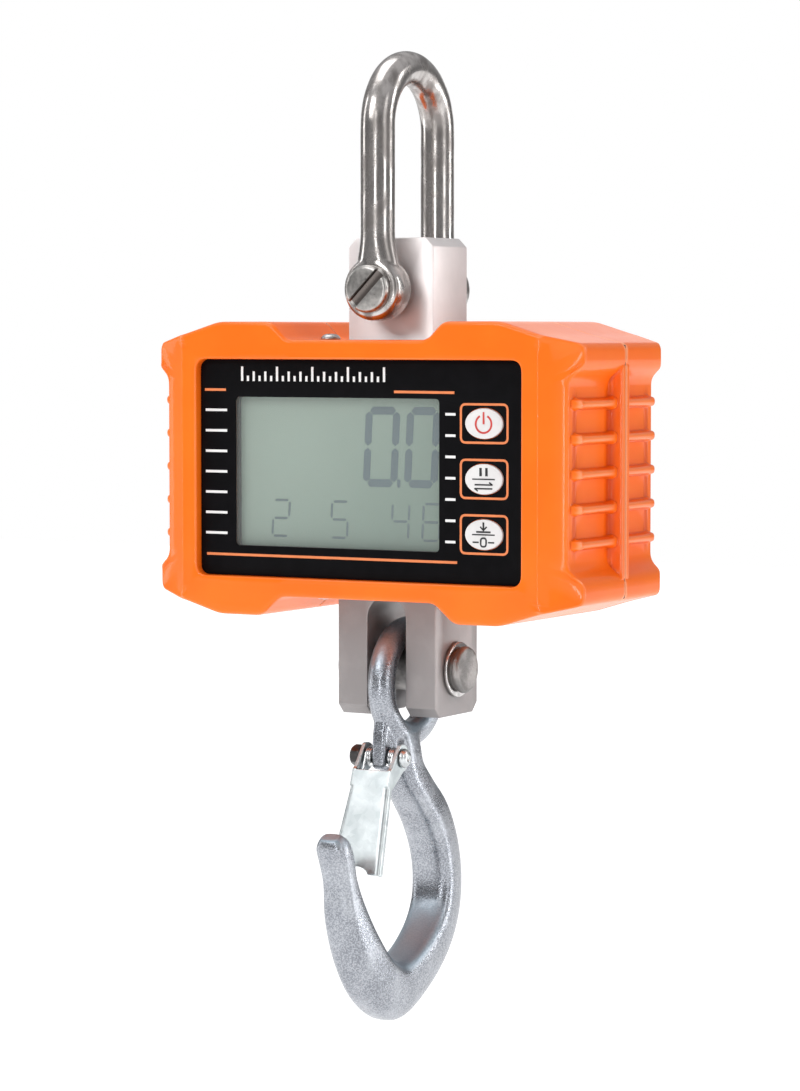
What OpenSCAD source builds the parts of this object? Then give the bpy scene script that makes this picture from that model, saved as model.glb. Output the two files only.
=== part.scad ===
// Hanging crane scale: a U shackle on top, a load cell inside a two-shell
// case with a display and three keys, and a latched eye hook underneath.
// X is across the case, +Y is towards its back and +Z is up.  The shapes are
// drawn about the middle of the case and hung() drops them so that the
// origin is where a crane hook bears on the shackle's crown.

/* [Case] */
// Width of the case over the two side flanges
case_w = 180; // [176:1:190]
// Depth of the case, front face to back face
case_d = 80; // [78:1:84]
// Height of the case over its flat tops
case_h = 109.4; // [108:0.2:112]
// Height of the case at its side ends
case_end_h = 93; // [92:0.2:95]
// Wall thickness of the cast shells
wall = 3.5; // [3:0.1:4]
// Depth that the panel sits below the rim round it
panel_depth = 3.5; // [3:0.1:4]

/* [Load cell] */
// Width of the upper lug
lug_w = 36.2; // [34:0.2:37]
// Depth of the upper lug
lug_d = 26.2; // [24:0.2:27]
// Height of the lug's top above the case's middle
lug_top = 85.8; // [84:0.2:90]
// Width of the lower clevis
clevis_w = 41.6; // [40:0.2:43]
// Depth of the lower clevis
clevis_d = 33; // [31:0.2:34]
// Depth of the clevis's end below the case's middle
clevis_end = 92.4; // [90:0.2:94]
// Width of the slot that takes the hook's eye
slot_w = 16.4; // [15.8:0.2:17]

/* [Shackle] */
// Height of the inner crown above the case's middle
crown_height = 142.7; // [135:0.1:160]
// Diameter of the bar
shackle_bar = 12.8; // [12:0.1:13]
// Spacing of the two legs, centre to centre
leg_spacing = 45.6; // [45:0.1:50]
// Outer diameter of each ear
ear_dia = 23.6; // [22:0.1:24]
// Height of the pin above the case's middle
pin_height = 66.7; // [66:0.1:68]
// Diameter of the shackle pin
shackle_pin_dia = 12; // [10:0.5:13]

/* [Hook] */
// Depth of the hook pin below the case's middle
hook_pin_depth = 75.2; // [74:0.1:76]
// Diameter of the hook pin
hook_pin_dia = 17.5; // [16:0.1:18]
// Diameter of the bar that forms the eye
eye_bar = 10.4; // [9.6:0.1:11]
// Inner diameter of the eye
eye_hole = 29; // [28:0.1:30]
// Diameter of the latch bolt
latch_bolt_dia = 5; // [4:0.1:5.2]
// Thickness of the latch's sheet steel
latch_sheet = 1.5; // [1:0.1:1.6]

/* [Keys] */
// Width of an oval key cap
key_w = 15.4; // [14:0.1:16]
// Height of an oval key cap
key_h = 11; // [10:0.1:12]
// Travel of a key
key_travel = 0.5; // [0.3:0.1:0.6]

/* [Hidden] */

$fn = 48;
fit_gap = 0.05;      // radial clearance of a running fit
free_gap = 0.3;      // clearance between pieces that only pass each other
through = 1;         // overrun of a cut past the face that it opens

// Case outline, by quarter: notch floor, notch lip, flat top, slope, end
half_w = case_w / 2;
half_d = case_d / 2;
half_h = case_h / 2;
end_h = case_end_h / 2;
slope_x = 75;
slope_z = 50;
flat_x = 59.4;
top_notch = [29.7, 48, 36.4];
bottom_notch = [32.6, 47.4, 40.8];
chamfer_y = 31.6;
parting_y = 1.7;
gasket_t = 0.6;

// Side recess between the two flanged ends of each shell
recess_x = 84.6;
recess_h = 33.7;
recess_lip_h = 38.5;
flange_t = 2.7;
rib_pitch = 12.6;
rib_t = 3;
rib_x = 88;
rib_end_y = 30;

// Panel and display stack, measured along Y from the front face
panel_x = [-69, 68.4];
panel_z = [-40.3, 40.8];
panel_r = 3.5;
panel_t = 0.6;
panel_floor_y = -half_d + panel_depth + panel_t;
inner_front_y = panel_floor_y + wall;
window_x = [-53.5, 33.4];
window_z = [-28.9, 26.7];
window_r = 1.6;
window_t = 1.6;
lcd_t = 2.4;
light_t = 2.8;
board_t = 1.6;
board_y = -24.6;
board_half = [66, 37.5];
board_hole = [61, 33];

// Keys, one under another
key_x = 51.9;
key_z = [18, -2, -22];
key_flange = 1.2;
key_proud = 0.5;

// Load cell
slot_roof = 56;
gauge_r = 11;
gauge_web = 7;
bracket_t = 3;
bracket_leg = 13;
bracket_base = [top_notch[1] - wall - bracket_t, bottom_notch[1] - wall - bracket_t];
cell_shoulder = bracket_base[0];
cell_screw_z = [bracket_base[0] - 6, 6 - bracket_base[1]];
mount_screw_x = [24, 26.8];
mount_screw_y = 16.5;
pin_z = -hook_pin_depth;

// Case screws, four near the corners and four near the flat tops
screw_places = [for (sx = [-1, 1], sz = [-1, 1], p = [[70.6, 41.6], [47, 45.6]]) [sx * p[0], sz * p[1]]];
boss_r = 4.4;

// Battery bay
cover_half = [33.6, 30.6];
bay_half = [27.4, 25];
frame_half = [37, 33.5];
frame_y = 32.4;
cover_t = 3.1;
cover_gasket_t = 0.8;
cover_screw = [30, 27.2];
plate_low = [-26, -45.4];
plate_high = [26, -34];
plate_t = 0.4;
cell_dia = 14.2;
cell_len = 49.2;
cell_pitch = 16;
battery_y = 26.4;

// Hook: the latch pivot, and the centre line of the forging from the neck
// round the bowl to the tip as [y, z, half depth, half width, outer taper]
pivot = [-18.6, -107.5];
eye_centre = [-0.4, pin_z + hook_pin_dia / 2 + fit_gap - eye_hole / 2];
hook_line = [
    [-5.6, -99, 7.6, 5.6, 0],
    [-5.8, -106, 7.3, 7.2, 0.05],
    [-3.2, -114.5, 7.5, 8.2, 0.15],
    [5.6, -123.6, 7.8, 9, 0.25],
    [14.8, -132.9, 8.6, 9.6, 0.3],
    [21.8, -144.6, 9.1, 9.8, 0.35],
    [25.2, -158, 9, 9.8, 0.35],
    [23.6, -171.3, 8.9, 9.8, 0.35],
    [15.8, -182.8, 9.1, 9.7, 0.35],
    [1.8, -192.4, 9.4, 9.5, 0.35],
    [-14.2, -197.4, 10.3, 9.2, 0.35],
    [-29.4, -190.6, 9.3, 8.6, 0.3],
    [-40.4, -178.2, 7.6, 7.7, 0.2],
    [-47.4, -163.6, 6.3, 6.4, 0.1],
    [-50.6, -150.4, 5, 5, 0],
    [-53.2, -141.6, 5.1, 5.1, 0],
    [-56, -136, 4.6, 4.9, 0],
    [-57.6, -132.6, 2.6, 2.8, 0]
];
latch_top = [-27.3, -110.6];
latch_end = [-41.4, -148.6];
latch_w = [16.4, 21.4];
latch_flange = 3.7;

// ------------------------------------------------------------- helpers

module hung() translate([0, 0, -crown_height]) children();

// Extrudes an X-Z outline along Y, from y0 to y1
module along_y(y0, y1) translate([0, y1, 0]) rotate([90, 0, 0]) linear_extrude(y1 - y0) children();

// Extrudes a Y-Z outline along X, from x0 to x1
module along_x(x0, x1) translate([x0, 0, 0]) rotate([90, 0, 90]) linear_extrude(x1 - x0) children();

module block(low, high) translate(low) cube(high - low);

// Round bar from y0 to y1 or from x0 to x1, at a place in the other plane
module rod_y(x, z, r, y0, y1) translate([x, y0, z]) rotate([-90, 0, 0]) cylinder(r = r, h = y1 - y0);
module rod_x(y, z, r, x0, x1) translate([x0, y, z]) rotate([0, 90, 0]) cylinder(r = r, h = x1 - x0);
module rod_z(x, y, r, z0, z1) translate([x, y, z0]) cylinder(r = r, h = z1 - z0);

module round_rect(low, high, r) {
    translate([low[0] + r, low[1]]) square([high[0] - low[0] - 2 * r, high[1] - low[1]]);
    translate([low[0], low[1] + r]) square([high[0] - low[0], high[1] - low[1] - 2 * r]);
    for (x = [low[0] + r, high[0] - r], y = [low[1] + r, high[1] - r]) translate([x, y]) circle(r);
}

module ellipse(w, h) polygon([for (a = [0:10:350]) [w / 2 * cos(a), h / 2 * sin(a)]]);

// ------------------------------------------------------------- case shapes

// Right-hand half of the X-Z outline, set in by s from the outer faces
function case_quarter(notch, s) = [
    [notch[0] + 0.41 * s, notch[1] - s],
    [notch[2] + 0.41 * s, half_h - s],
    [flat_x - 0.15 * s, half_h - s],
    [slope_x - 0.25 * s, slope_z - 1.04 * s]
];
function mirrored(points) = [for (p = points) [-p[0], p[1]]];
function flipped(points) = [for (p = points) [p[0], -p[1]]];
function reversed(points) = [for (i = [len(points) - 1:-1:0]) points[i]];
function case_half(s, side) = concat(
    case_quarter(top_notch, s), [[side, end_h - 0.8 * s], [side, -end_h + 0.8 * s]],
    reversed(flipped(case_quarter(bottom_notch, s)))
);
module case_outline(s, side) polygon(concat(case_half(s, side), reversed(mirrored(case_half(s, side)))));

// X-Y outline, chamfered from the front and back faces to the side ends
chamfer_slope = (half_d - chamfer_y) / (half_w - slope_x);
module case_plan(s, side) {
    corner = slope_x - 0.26 * s;
    quarter = [[corner, half_d - s], [side, half_d - s - chamfer_slope * (side - corner)]];
    half = concat(quarter, reversed(flipped(quarter)));
    polygon(concat(half, reversed(mirrored(half))));
}

module case_solid(y0, y1) intersection() {
    along_y(y0, y1) case_outline(0, half_w);
    translate([0, 0, -half_h]) linear_extrude(case_h) case_plan(0, half_w);
}

// Hollow of a shell between two depths, clear of the side recesses
module case_hollow(y0, y1) intersection() {
    along_y(y0, y1) case_outline(wall, recess_x - wall);
    translate([0, 0, -half_h]) linear_extrude(case_h) case_plan(wall, recess_x - wall);
}

// Cut in one side, leaving the flange at the parting and the five ribs
module side_recess(y0, y1) {
    for (sx = [-1, 1]) difference() {
        along_y(y0, y1) polygon([
            [sx * recess_x, recess_h], [sx * (half_w + through), recess_lip_h + through],
            [sx * (half_w + through), -recess_lip_h - through], [sx * recess_x, -recess_h]
        ]);
        for (i = [-2:2]) side_rib(sx, i * rib_pitch);
    }
}

module side_rib(sx, z) {
    tip = 1.6;
    low = min(sx * (recess_x - 0.5), sx * (rib_x - tip));
    block([low, -rib_end_y - tip, z - rib_t / 2], [low + rib_x - recess_x - tip + 0.5, rib_end_y + tip, z + rib_t / 2]);
    block([min(sx * (rib_x - tip), sx * rib_x), -rib_end_y, z - rib_t / 2],
          [max(sx * (rib_x - tip), sx * rib_x), rib_end_y, z + rib_t / 2]);
    for (y = [-rib_end_y, rib_end_y]) rod_z(sx * (rib_x - tip), y, tip, z - rib_t / 2, z + rib_t / 2);
}

// Window through both notch floors for the load cell and its seals
module cell_windows() {
    block([-20.6, -15.6, top_notch[1] - wall - through], [20.6, 15.6, top_notch[1] + through]);
    block([-23.2, -18.8, -bottom_notch[1] - through], [23.2, 18.8, -bottom_notch[1] + wall + through]);
}

module mount_holes() {
    for (x = [-1, 1], y = [-1, 1]) {
        rod_z(x * mount_screw_x[0], y * mount_screw_y, 2.25, top_notch[1] - wall - through, top_notch[1] + through);
        rod_z(x * mount_screw_x[1], y * mount_screw_y, 2.25, -bottom_notch[1] - through, -bottom_notch[1] + wall + through);
    }
}

// ------------------------------------------------------------- shells

module front_shell() color("darkorange") hung() difference() {
    join_y = parting_y - gasket_t / 2;
    union() {
        difference() {
            case_solid(-half_d, join_y);
            case_hollow(inner_front_y, join_y + through);
            side_recess(-half_d - through, parting_y - flange_t);
        }
        for (p = screw_places) rod_y(p[0], p[1], boss_r, inner_front_y - through, join_y);
        for (x = [-1, 1], z = [-1, 1])
            rod_y(x * board_hole[0], z * board_hole[1], 3, inner_front_y - through, board_y - board_t / 2);
    }
    // Recess for the panel, and the window behind it
    along_y(-half_d - through, panel_floor_y)
        round_rect([panel_x[0], panel_z[0]], [panel_x[1], panel_z[1]], panel_r);
    along_y(panel_floor_y - through, inner_front_y + through)
        round_rect([window_x[0] - 1.2, window_z[0] - 1.2], [window_x[1] + 1.2, window_z[1] + 1.2], window_r);
    for (z = key_z) along_y(panel_floor_y - through, inner_front_y + through) translate([key_x, z])
        ellipse(key_w + 3.4, key_h + 3.4);
    for (p = screw_places) rod_y(p[0], p[1], 1.95, inner_front_y + wall, parting_y + through);
    for (x = [-1, 1], z = [-1, 1]) rod_y(x * board_hole[0], z * board_hole[1], 1.3, inner_front_y, 0);
    cell_windows();
    mount_holes();
}

module rear_shell() color("darkorange") hung() difference() {
    join_y = parting_y + gasket_t / 2;
    union() {
        difference() {
            case_solid(join_y, half_d);
            case_hollow(join_y - through, half_d - wall);
            side_recess(parting_y + flange_t, half_d + through);
        }
        for (p = screw_places) rod_y(p[0], p[1], boss_r, join_y, half_d - wall + through);
        along_y(frame_y, half_d - wall + through) round_rect(-frame_half, frame_half, 4);
    }
    // Seat of the battery cover and the way into the bay
    along_y(half_d - cover_t - cover_gasket_t, half_d + through) round_rect(-cover_half, cover_half, 4);
    along_y(frame_y - through, half_d) round_rect(-bay_half, bay_half, 2);
    for (x = [-1, 1], z = [-1, 1]) rod_y(x * cover_screw[0], z * cover_screw[1], 1.3, frame_y - through, half_d);
    along_y(half_d - plate_t, half_d + through) round_rect(plate_low, plate_high, 1);
    for (p = screw_places) {
        rod_y(p[0], p[1], 2.3, parting_y - through, half_d + through);
        rod_y(p[0], p[1], 4, half_d - 4, half_d + through);
    }
    cell_windows();
    mount_holes();
}

module shell_gasket() color("black") hung() difference() {
    along_y(parting_y - gasket_t / 2, parting_y + gasket_t / 2) difference() {
        case_outline(0.5, half_w - 0.5);
        case_outline(wall - 0.6, recess_x - wall + 0.6);
    }
    for (p = screw_places) rod_y(p[0], p[1], boss_r + 0.1, parting_y - gasket_t, parting_y + gasket_t);
    block([-24, -5, -60], [24, 5, 60]);
}

module case_screws() color("silver") hung() for (p = screw_places) {
    rod_y(p[0], p[1], 1.9, inner_front_y + wall + 2, half_d - 4);
    difference() {
        rod_y(p[0], p[1], 3.5, half_d - 4, half_d - 1.2);
        block([p[0] - 2.4, half_d - 2.6, p[1] - 0.5], [p[0] + 2.4, half_d, p[1] + 0.5]);
        block([p[0] - 0.5, half_d - 2.6, p[1] - 2.4], [p[0] + 0.5, half_d, p[1] + 2.4]);
    }
}

// ------------------------------------------------------------- panel, display and keys

module front_panel() color([0.06, 0.06, 0.07]) hung() along_y(panel_floor_y - panel_t, panel_floor_y) difference() {
    round_rect([panel_x[0] + 0.2, panel_z[0] + 0.2], [panel_x[1] - 0.2, panel_z[1] - 0.2], panel_r - 0.2);
    round_rect([window_x[0], window_z[0]], [window_x[1], window_z[1]], window_r);
    for (z = key_z) translate([key_x, z]) ellipse(key_w + 2 * free_gap, key_h + 2 * free_gap);
}

module display_window() color([0.8, 0.85, 0.85, 0.4]) hung() along_y(panel_floor_y, panel_floor_y + window_t)
    round_rect([window_x[0] - 1.1, window_z[0] - 1.1], [window_x[1] + 1.1, window_z[1] + 1.1], window_r);

module lcd_glass() color([0.58, 0.67, 0.62]) hung()
    block([window_x[0] - 2.5, inner_front_y + 0.1, window_z[0] - 2.5],
          [window_x[1] + 2.5, inner_front_y + 0.1 + lcd_t, window_z[1] + 2.5]);

module backlight() color("white") hung()
    block([window_x[0] - 2.5, inner_front_y + 0.2 + lcd_t, window_z[0] - 2.5],
          [window_x[1] + 2.5, inner_front_y + 0.2 + lcd_t + light_t, window_z[1] + 2.5]);

module lcd_bezel() color([0.12, 0.12, 0.13]) hung()
    along_y(inner_front_y, board_y - board_t / 2) difference() {
        translate([window_x[0] - 4, window_z[0] - 4])
            square([window_x[1] - window_x[0] + 8, window_z[1] - window_z[0] + 8]);
        translate([window_x[0] - 2.6, window_z[0] - 2.6])
            square([window_x[1] - window_x[0] + 5.2, window_z[1] - window_z[0] + 5.2]);
    }

module main_board() color("darkgreen") hung() difference() {
    block([-board_half[0], board_y - board_t / 2, -board_half[1]], [board_half[0], board_y + board_t / 2, board_half[1]]);
    for (x = [-1, 1], z = [-1, 1]) rod_y(x * board_hole[0], z * board_hole[1], 1.6, board_y - 2, board_y + 2);
}

module board_screws() color("silver") hung() for (x = [-1, 1], z = [-1, 1]) {
    rod_y(x * board_hole[0], z * board_hole[1], 2.6, board_y + board_t / 2, board_y + board_t / 2 + 1.8);
    rod_y(x * board_hole[0], z * board_hole[1], 1.25, board_y - 6, board_y + board_t / 2);
}

switch_y = board_y - board_t / 2 - 3.2;
module key_switches() color("dimgray") hung() for (z = key_z) {
    block([key_x - 3, switch_y + 0.6, z - 3], [key_x + 3, board_y - board_t / 2, z + 3]);
    rod_y(key_x, z, 1.6, switch_y, switch_y + 0.6);
}

module key(z) color("white") hung() {
    face_y = panel_floor_y - panel_t - key_proud;
    back_y = panel_floor_y + 0.2;
    translate([key_x, 0, z]) {
        along_y(face_y, back_y) ellipse(key_w, key_h);
        along_y(back_y, back_y + key_flange) ellipse(key_w + 2.4, key_h + 2.4);
    }
    rod_y(key_x, z, 2, back_y + key_flange, switch_y - key_travel - 0.1);
}
module power_key() key(key_z[0]);
module hold_key() key(key_z[1]);
module tare_key() key(key_z[2]);

module processor_chip() color([0.15, 0.15, 0.16]) hung()
    block([-50, board_y + board_t / 2, -9], [-36, board_y + board_t / 2 + 2, 9]);

module buzzer() color("black") hung() difference() {
    rod_y(50, 22, 6, board_y + board_t / 2, board_y + board_t / 2 + 6);
    rod_y(50, 22, 1.2, board_y + board_t / 2 + 4, board_y + board_t / 2 + 7);
}

// ------------------------------------------------------------- load cell and its fixings

module load_cell() color([0.78, 0.76, 0.75]) hung() difference() {
    union() {
        // Upper lug, chamfered along the two edges that run front to back
        along_y(-lug_d / 2, lug_d / 2) polygon([
            [-lug_w / 2, cell_shoulder - through], [lug_w / 2, cell_shoulder - through],
            [lug_w / 2, lug_top - 3.3], [lug_w / 2 - 3.3, lug_top],
            [-lug_w / 2 + 3.3, lug_top], [-lug_w / 2, lug_top - 3.3]
        ]);
        // Body and clevis, chamfered along the two edges that run across
        along_x(-clevis_w / 2, clevis_w / 2) polygon([
            [-clevis_d / 2, cell_shoulder], [clevis_d / 2, cell_shoulder],
            [clevis_d / 2, -clevis_end + 3.6], [clevis_d / 2 - 3.6, -clevis_end],
            [-clevis_d / 2 + 3.6, -clevis_end], [-clevis_d / 2, -clevis_end + 3.6]
        ]);
    }
    rod_y(0, pin_height, shackle_pin_dia / 2 + fit_gap, -half_d, half_d);
    rod_x(0, pin_z, hook_pin_dia / 2 + fit_gap, -half_d, half_d);
    // Slot for the hook's eye, with a round roof
    block([-slot_w / 2, -half_d, -clevis_end - through], [slot_w / 2, half_d, -slot_roof]);
    rod_y(0, -slot_roof, slot_w / 2, -half_d, half_d);
    // Gauge pockets, which leave a thin shear web between them
    for (s = [-1, 1]) {
        front = s > 0 ? gauge_web / 2 : -clevis_d / 2 - through;
        rod_y(0, 0, gauge_r, front, front + clevis_d / 2 + through - gauge_web / 2);
    }
    for (x = [-1, 1], y = [-1, 1], z = cell_screw_z)
        rod_x(y * 9, z, 2, x > 0 ? clevis_w / 2 - 8 : -clevis_w / 2 - through,
              x > 0 ? clevis_w / 2 + through : -clevis_w / 2 + 8);
}

module strain_gauges() color("goldenrod") hung() for (s = [-1, 1], a = [45, -45])
    translate([0, s * (gauge_web / 2 + 0.15), 0]) rotate([0, a, 0])
        cube([4, 0.3, 12], center = true);

module gauge_covers() color("silver") hung() {
    rod_y(0, 0, gauge_r - 0.1, clevis_d / 2 - 1.2, clevis_d / 2);
    difference() {
        rod_y(0, 0, gauge_r - 0.1, -clevis_d / 2, -clevis_d / 2 + 1.2);
        rod_y(0, 0, 2, -clevis_d / 2 - through, -clevis_d / 2 + 2);
    }
}

module cell_lead() color("gray") hung() rod_y(0, 0, 1.9, board_y + board_t / 2, -clevis_d / 2 + 3);

module bracket(hole_w, hole_d, screw_x) difference() {
    union() {
        block([-29.4, -21.4, 0], [29.4, 21.4, bracket_t]);
        for (x = [-1, 1]) {
            low = x > 0 ? clevis_w / 2 + 0.1 : -clevis_w / 2 - 0.1 - bracket_t;
            block([low, -14, -bracket_leg], [low + bracket_t, 14, 0.5]);
        }
    }
    block([-hole_w / 2 - 0.1, -hole_d / 2 - 0.1, -through], [hole_w / 2 + 0.1, hole_d / 2 + 0.1, bracket_t + through]);
    for (x = [-1, 1], y = [-1, 1]) rod_z(x * screw_x, y * mount_screw_y, 2, -through, bracket_t + through);
    for (y = [-1, 1]) rod_x(y * 9, -6, 2.25, -half_w, half_w);
}
module top_bracket() color("lightgray") hung()
    translate([0, 0, bracket_base[0]]) bracket(lug_w, lug_d, mount_screw_x[0]);
module bottom_bracket() color("lightgray") hung()
    translate([0, 0, -bracket_base[1]]) mirror([0, 0, 1]) bracket(clevis_w, clevis_d, mount_screw_x[1]);

module cell_screws() color("silver") hung() for (x = [-1, 1], y = [-1, 1], z = cell_screw_z) {
    shank = clevis_w / 2 + 0.1 + bracket_t;
    rod_x(y * 9, z, 1.9, x > 0 ? clevis_w / 2 - 7 : -shank, x > 0 ? shank : -clevis_w / 2 + 7);
    rod_x(y * 9, z, 3.4, x > 0 ? shank : -shank - 3, x > 0 ? shank + 3 : -shank);
}

// Pan-head screw that stands on a notch floor, head upwards
module mount_screw() {
    difference() {
        rod_z(0, 0, 3.8, 0, 2.2);
        block([-2.6, -0.5, 1.1], [2.6, 0.5, 3]);
        block([-0.5, -2.6, 1.1], [0.5, 2.6, 3]);
    }
    rod_z(0, 0, 1.95, -wall - bracket_t - 1, 0);
}
module case_mount_screws() color("silver") hung() for (x = [-1, 1], y = [-1, 1]) {
    translate([x * mount_screw_x[0], y * mount_screw_y, top_notch[1]]) mount_screw();
    translate([x * mount_screw_x[1], y * mount_screw_y, -bottom_notch[1]]) mirror([0, 0, 1]) mount_screw();
}

module seal(inner, outer, z0, z1) difference() {
    block([-outer[0], -outer[1], z0], [outer[0], outer[1], z1]);
    block([-inner[0], -inner[1], z0 - through], [inner[0], inner[1], z1 + through]);
}
module top_seal() color("black") hung()
    seal([lug_w / 2 + 0.1, lug_d / 2 + 0.1], [20.5, 15.5], top_notch[1] - wall + 0.1, top_notch[1] - 0.4);
module bottom_seal() color("black") hung()
    seal([clevis_w / 2 + 0.1, clevis_d / 2 + 0.1], [23.1, 18.7], -bottom_notch[1] + 0.4, -bottom_notch[1] + wall - 0.1);

// ------------------------------------------------------------- battery bay

holder_y = [18, battery_y + 2];
module battery_holder() color([0.1, 0.1, 0.1]) hung() difference() {
    block([-29, holder_y[0], -25], [29, holder_y[1], 25]);
    for (i = [-1:1]) rod_x(battery_y, i * cell_pitch, cell_dia / 2 + 0.2, -27.2, 27.2);
    for (i = [-1:1]) block([-27.2, battery_y, i * cell_pitch - cell_dia / 2 - 0.2], [27.2, holder_y[1] + through, i * cell_pitch + cell_dia / 2 + 0.2]);
}

module battery_contacts() color("silver") hung() for (i = [-1:1]) {
    block([-27.1, battery_y - 5, i * cell_pitch - 5], [-26.7, battery_y + 1.9, i * cell_pitch + 5]);
    block([26.7, battery_y - 5, i * cell_pitch - 5], [27.1, battery_y + 1.9, i * cell_pitch + 5]);
    difference() {
        rod_x(battery_y, i * cell_pitch, 3.4, -26.7, -24.8);
        rod_x(battery_y, i * cell_pitch, 2.6, -27, -24);
    }
}

module battery(i) color("royalblue") hung() {
    rod_x(battery_y, i * cell_pitch, cell_dia / 2, -24.7, -24.7 + cell_len);
    rod_x(battery_y, i * cell_pitch, 2.7, -24.7 + cell_len, -24.7 + cell_len + 1.2);
}
module battery_1() battery(1);
module battery_2() battery(0);
module battery_3() battery(-1);

module cover_plate(y0, y1, margin) along_y(y0, y1)
    round_rect([-cover_half[0] + margin, -cover_half[1] + margin], [cover_half[0] - margin, cover_half[1] - margin], 4 - margin);

module battery_cover() color("darkorange") hung() difference() {
    cover_plate(half_d - cover_t, half_d, 0.3);
    for (x = [-1, 1], z = [-1, 1]) {
        rod_y(x * cover_screw[0], z * cover_screw[1], 1.4, half_d - 5, half_d + through);
        rod_y(x * cover_screw[0], z * cover_screw[1], 2.4, half_d - 1.8, half_d + through);
    }
    for (i = [-2:2]) along_y(half_d - 0.8, half_d + through)
        round_rect([-14, i * 4 - 0.9], [14, i * 4 + 0.9], 0.8);
}

module cover_gasket() color("black") hung() difference() {
    cover_plate(half_d - cover_t - cover_gasket_t, half_d - cover_t, 0.4);
    along_y(half_d - 6, half_d) round_rect([-bay_half[0], -bay_half[1]], [bay_half[0], bay_half[1]], 2);
    for (x = [-1, 1], z = [-1, 1]) rod_y(x * cover_screw[0], z * cover_screw[1], 1.5, half_d - 6, half_d);
}

module cover_screws() color("silver") hung() for (x = [-1, 1], z = [-1, 1]) {
    place = [x * cover_screw[0], z * cover_screw[1]];
    rod_y(place[0], place[1], 1.2, frame_y + 0.5, half_d - 1.8);
    difference() {
        rod_y(place[0], place[1], 2.2, half_d - 1.8, half_d - 0.1);
        block([place[0] - 1.6, half_d - 1, place[1] - 0.35], [place[0] + 1.6, half_d, place[1] + 0.35]);
        block([place[0] - 0.35, half_d - 1, place[1] - 1.6], [place[0] + 0.35, half_d, place[1] + 1.6]);
    }
}

module rating_plate() color("gainsboro") hung()
    along_y(half_d - plate_t, half_d) round_rect(plate_low + [0.1, 0.1], plate_high - [0.1, 0.1], 1);

// ------------------------------------------------------------- shackle

module shackle_bow() color("silver") hung() difference() {
    leg_y = leg_spacing / 2;
    crown_z = crown_height - leg_y + shackle_bar / 2;
    union() {
        for (s = [-1, 1]) {
            rod_z(0, s * leg_y, shackle_bar / 2, pin_height, crown_z);
            rod_y(0, pin_height, ear_dia / 2, s * leg_y - shackle_bar / 2 + 0.2, s * leg_y + shackle_bar / 2 - 0.2);
        }
        translate([0, 0, crown_z]) rotate([0, -90, 0]) rotate([0, 0, -90])
            rotate_extrude(angle = 180) translate([leg_y, 0]) circle(shackle_bar / 2);
    }
    rod_y(0, pin_height, shackle_pin_dia / 2 + fit_gap, -half_d, half_d);
}

pin_head_y = -leg_spacing / 2 - shackle_bar / 2;
module shackle_pin() color("silver") hung() difference() {
    union() {
        rod_y(0, pin_height, shackle_pin_dia / 2, pin_head_y - 1, -pin_head_y + 2.4);
        rod_y(0, pin_height, 8.75, pin_head_y - 3.4, pin_head_y);
    }
    translate([0, pin_head_y - 3.4, pin_height]) rotate([0, 45, 0])
        cube([20, 3.4, 2.4], center = true);
}

// ------------------------------------------------------------- hook and latch

ring_t = 1.3;
pin_reach = 5;
module hook_pin() color("silver") hung() difference() {
    rod_x(0, pin_z, hook_pin_dia / 2, -clevis_w / 2 - pin_reach, clevis_w / 2 + pin_reach);
    for (x = [-1, 1]) difference() {
        edge = clevis_w / 2 + 0.2;
        rod_x(0, pin_z, hook_pin_dia / 2 + 1, x > 0 ? edge : -edge - ring_t, x > 0 ? edge + ring_t : -edge);
        rod_x(0, pin_z, hook_pin_dia / 2 - 1, -half_d, half_d);
    }
}

module pin_rings() color("silver") hung() for (x = [-1, 1]) difference() {
    edge = clevis_w / 2 + 0.25;
    low = x > 0 ? edge : -edge - ring_t + 0.1;
    rod_x(0, pin_z, 10.3, low, low + ring_t - 0.1);
    rod_x(0, pin_z, hook_pin_dia / 2 - 0.95, low - 1, low + 3);
    block([low - 1, -2.2, pin_z - 12], [low + 3, 2.2, pin_z - 6]);
}

// Point on the smooth curve through the four stations round place t of a list
function blend4(a, b, c, d, u) = 0.5 * (2 * b + (c - a) * u + (2 * a - 5 * b + 4 * c - d) * u * u
    + (3 * b - a - 3 * c + d) * u * u * u);
function on_line(line, t) = let (n = len(line), i = min(floor(t), n - 2), u = t - i)
    blend4(line[max(i - 1, 0)], line[i], line[i + 1], line[min(i + 2, n - 1)], u);

hook_steps = 3;
hook_sides = 16;
function rounded(v, power) = sign(v) * pow(abs(v), power);
function hook_ring(t) = let (
        here = on_line(hook_line, t),
        ahead = on_line(hook_line, min(t + 0.05, len(hook_line) - 1)) - on_line(hook_line, max(t - 0.05, 0)),
        run = norm([ahead[0], ahead[1]]),
        out = [-ahead[1], ahead[0]] / run)
    [for (k = [0:hook_sides - 1]) let (
            a = (k + 0.5) * 360 / hook_sides,
            depth = rounded(sin(a), 0.72) * here[2],
            width = rounded(cos(a), 0.72) * here[3] * (1 - here[4] * (1 + depth / here[2]) / 2))
        [width, here[0] + out[0] * depth, here[1] + out[1] * depth]];

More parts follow.
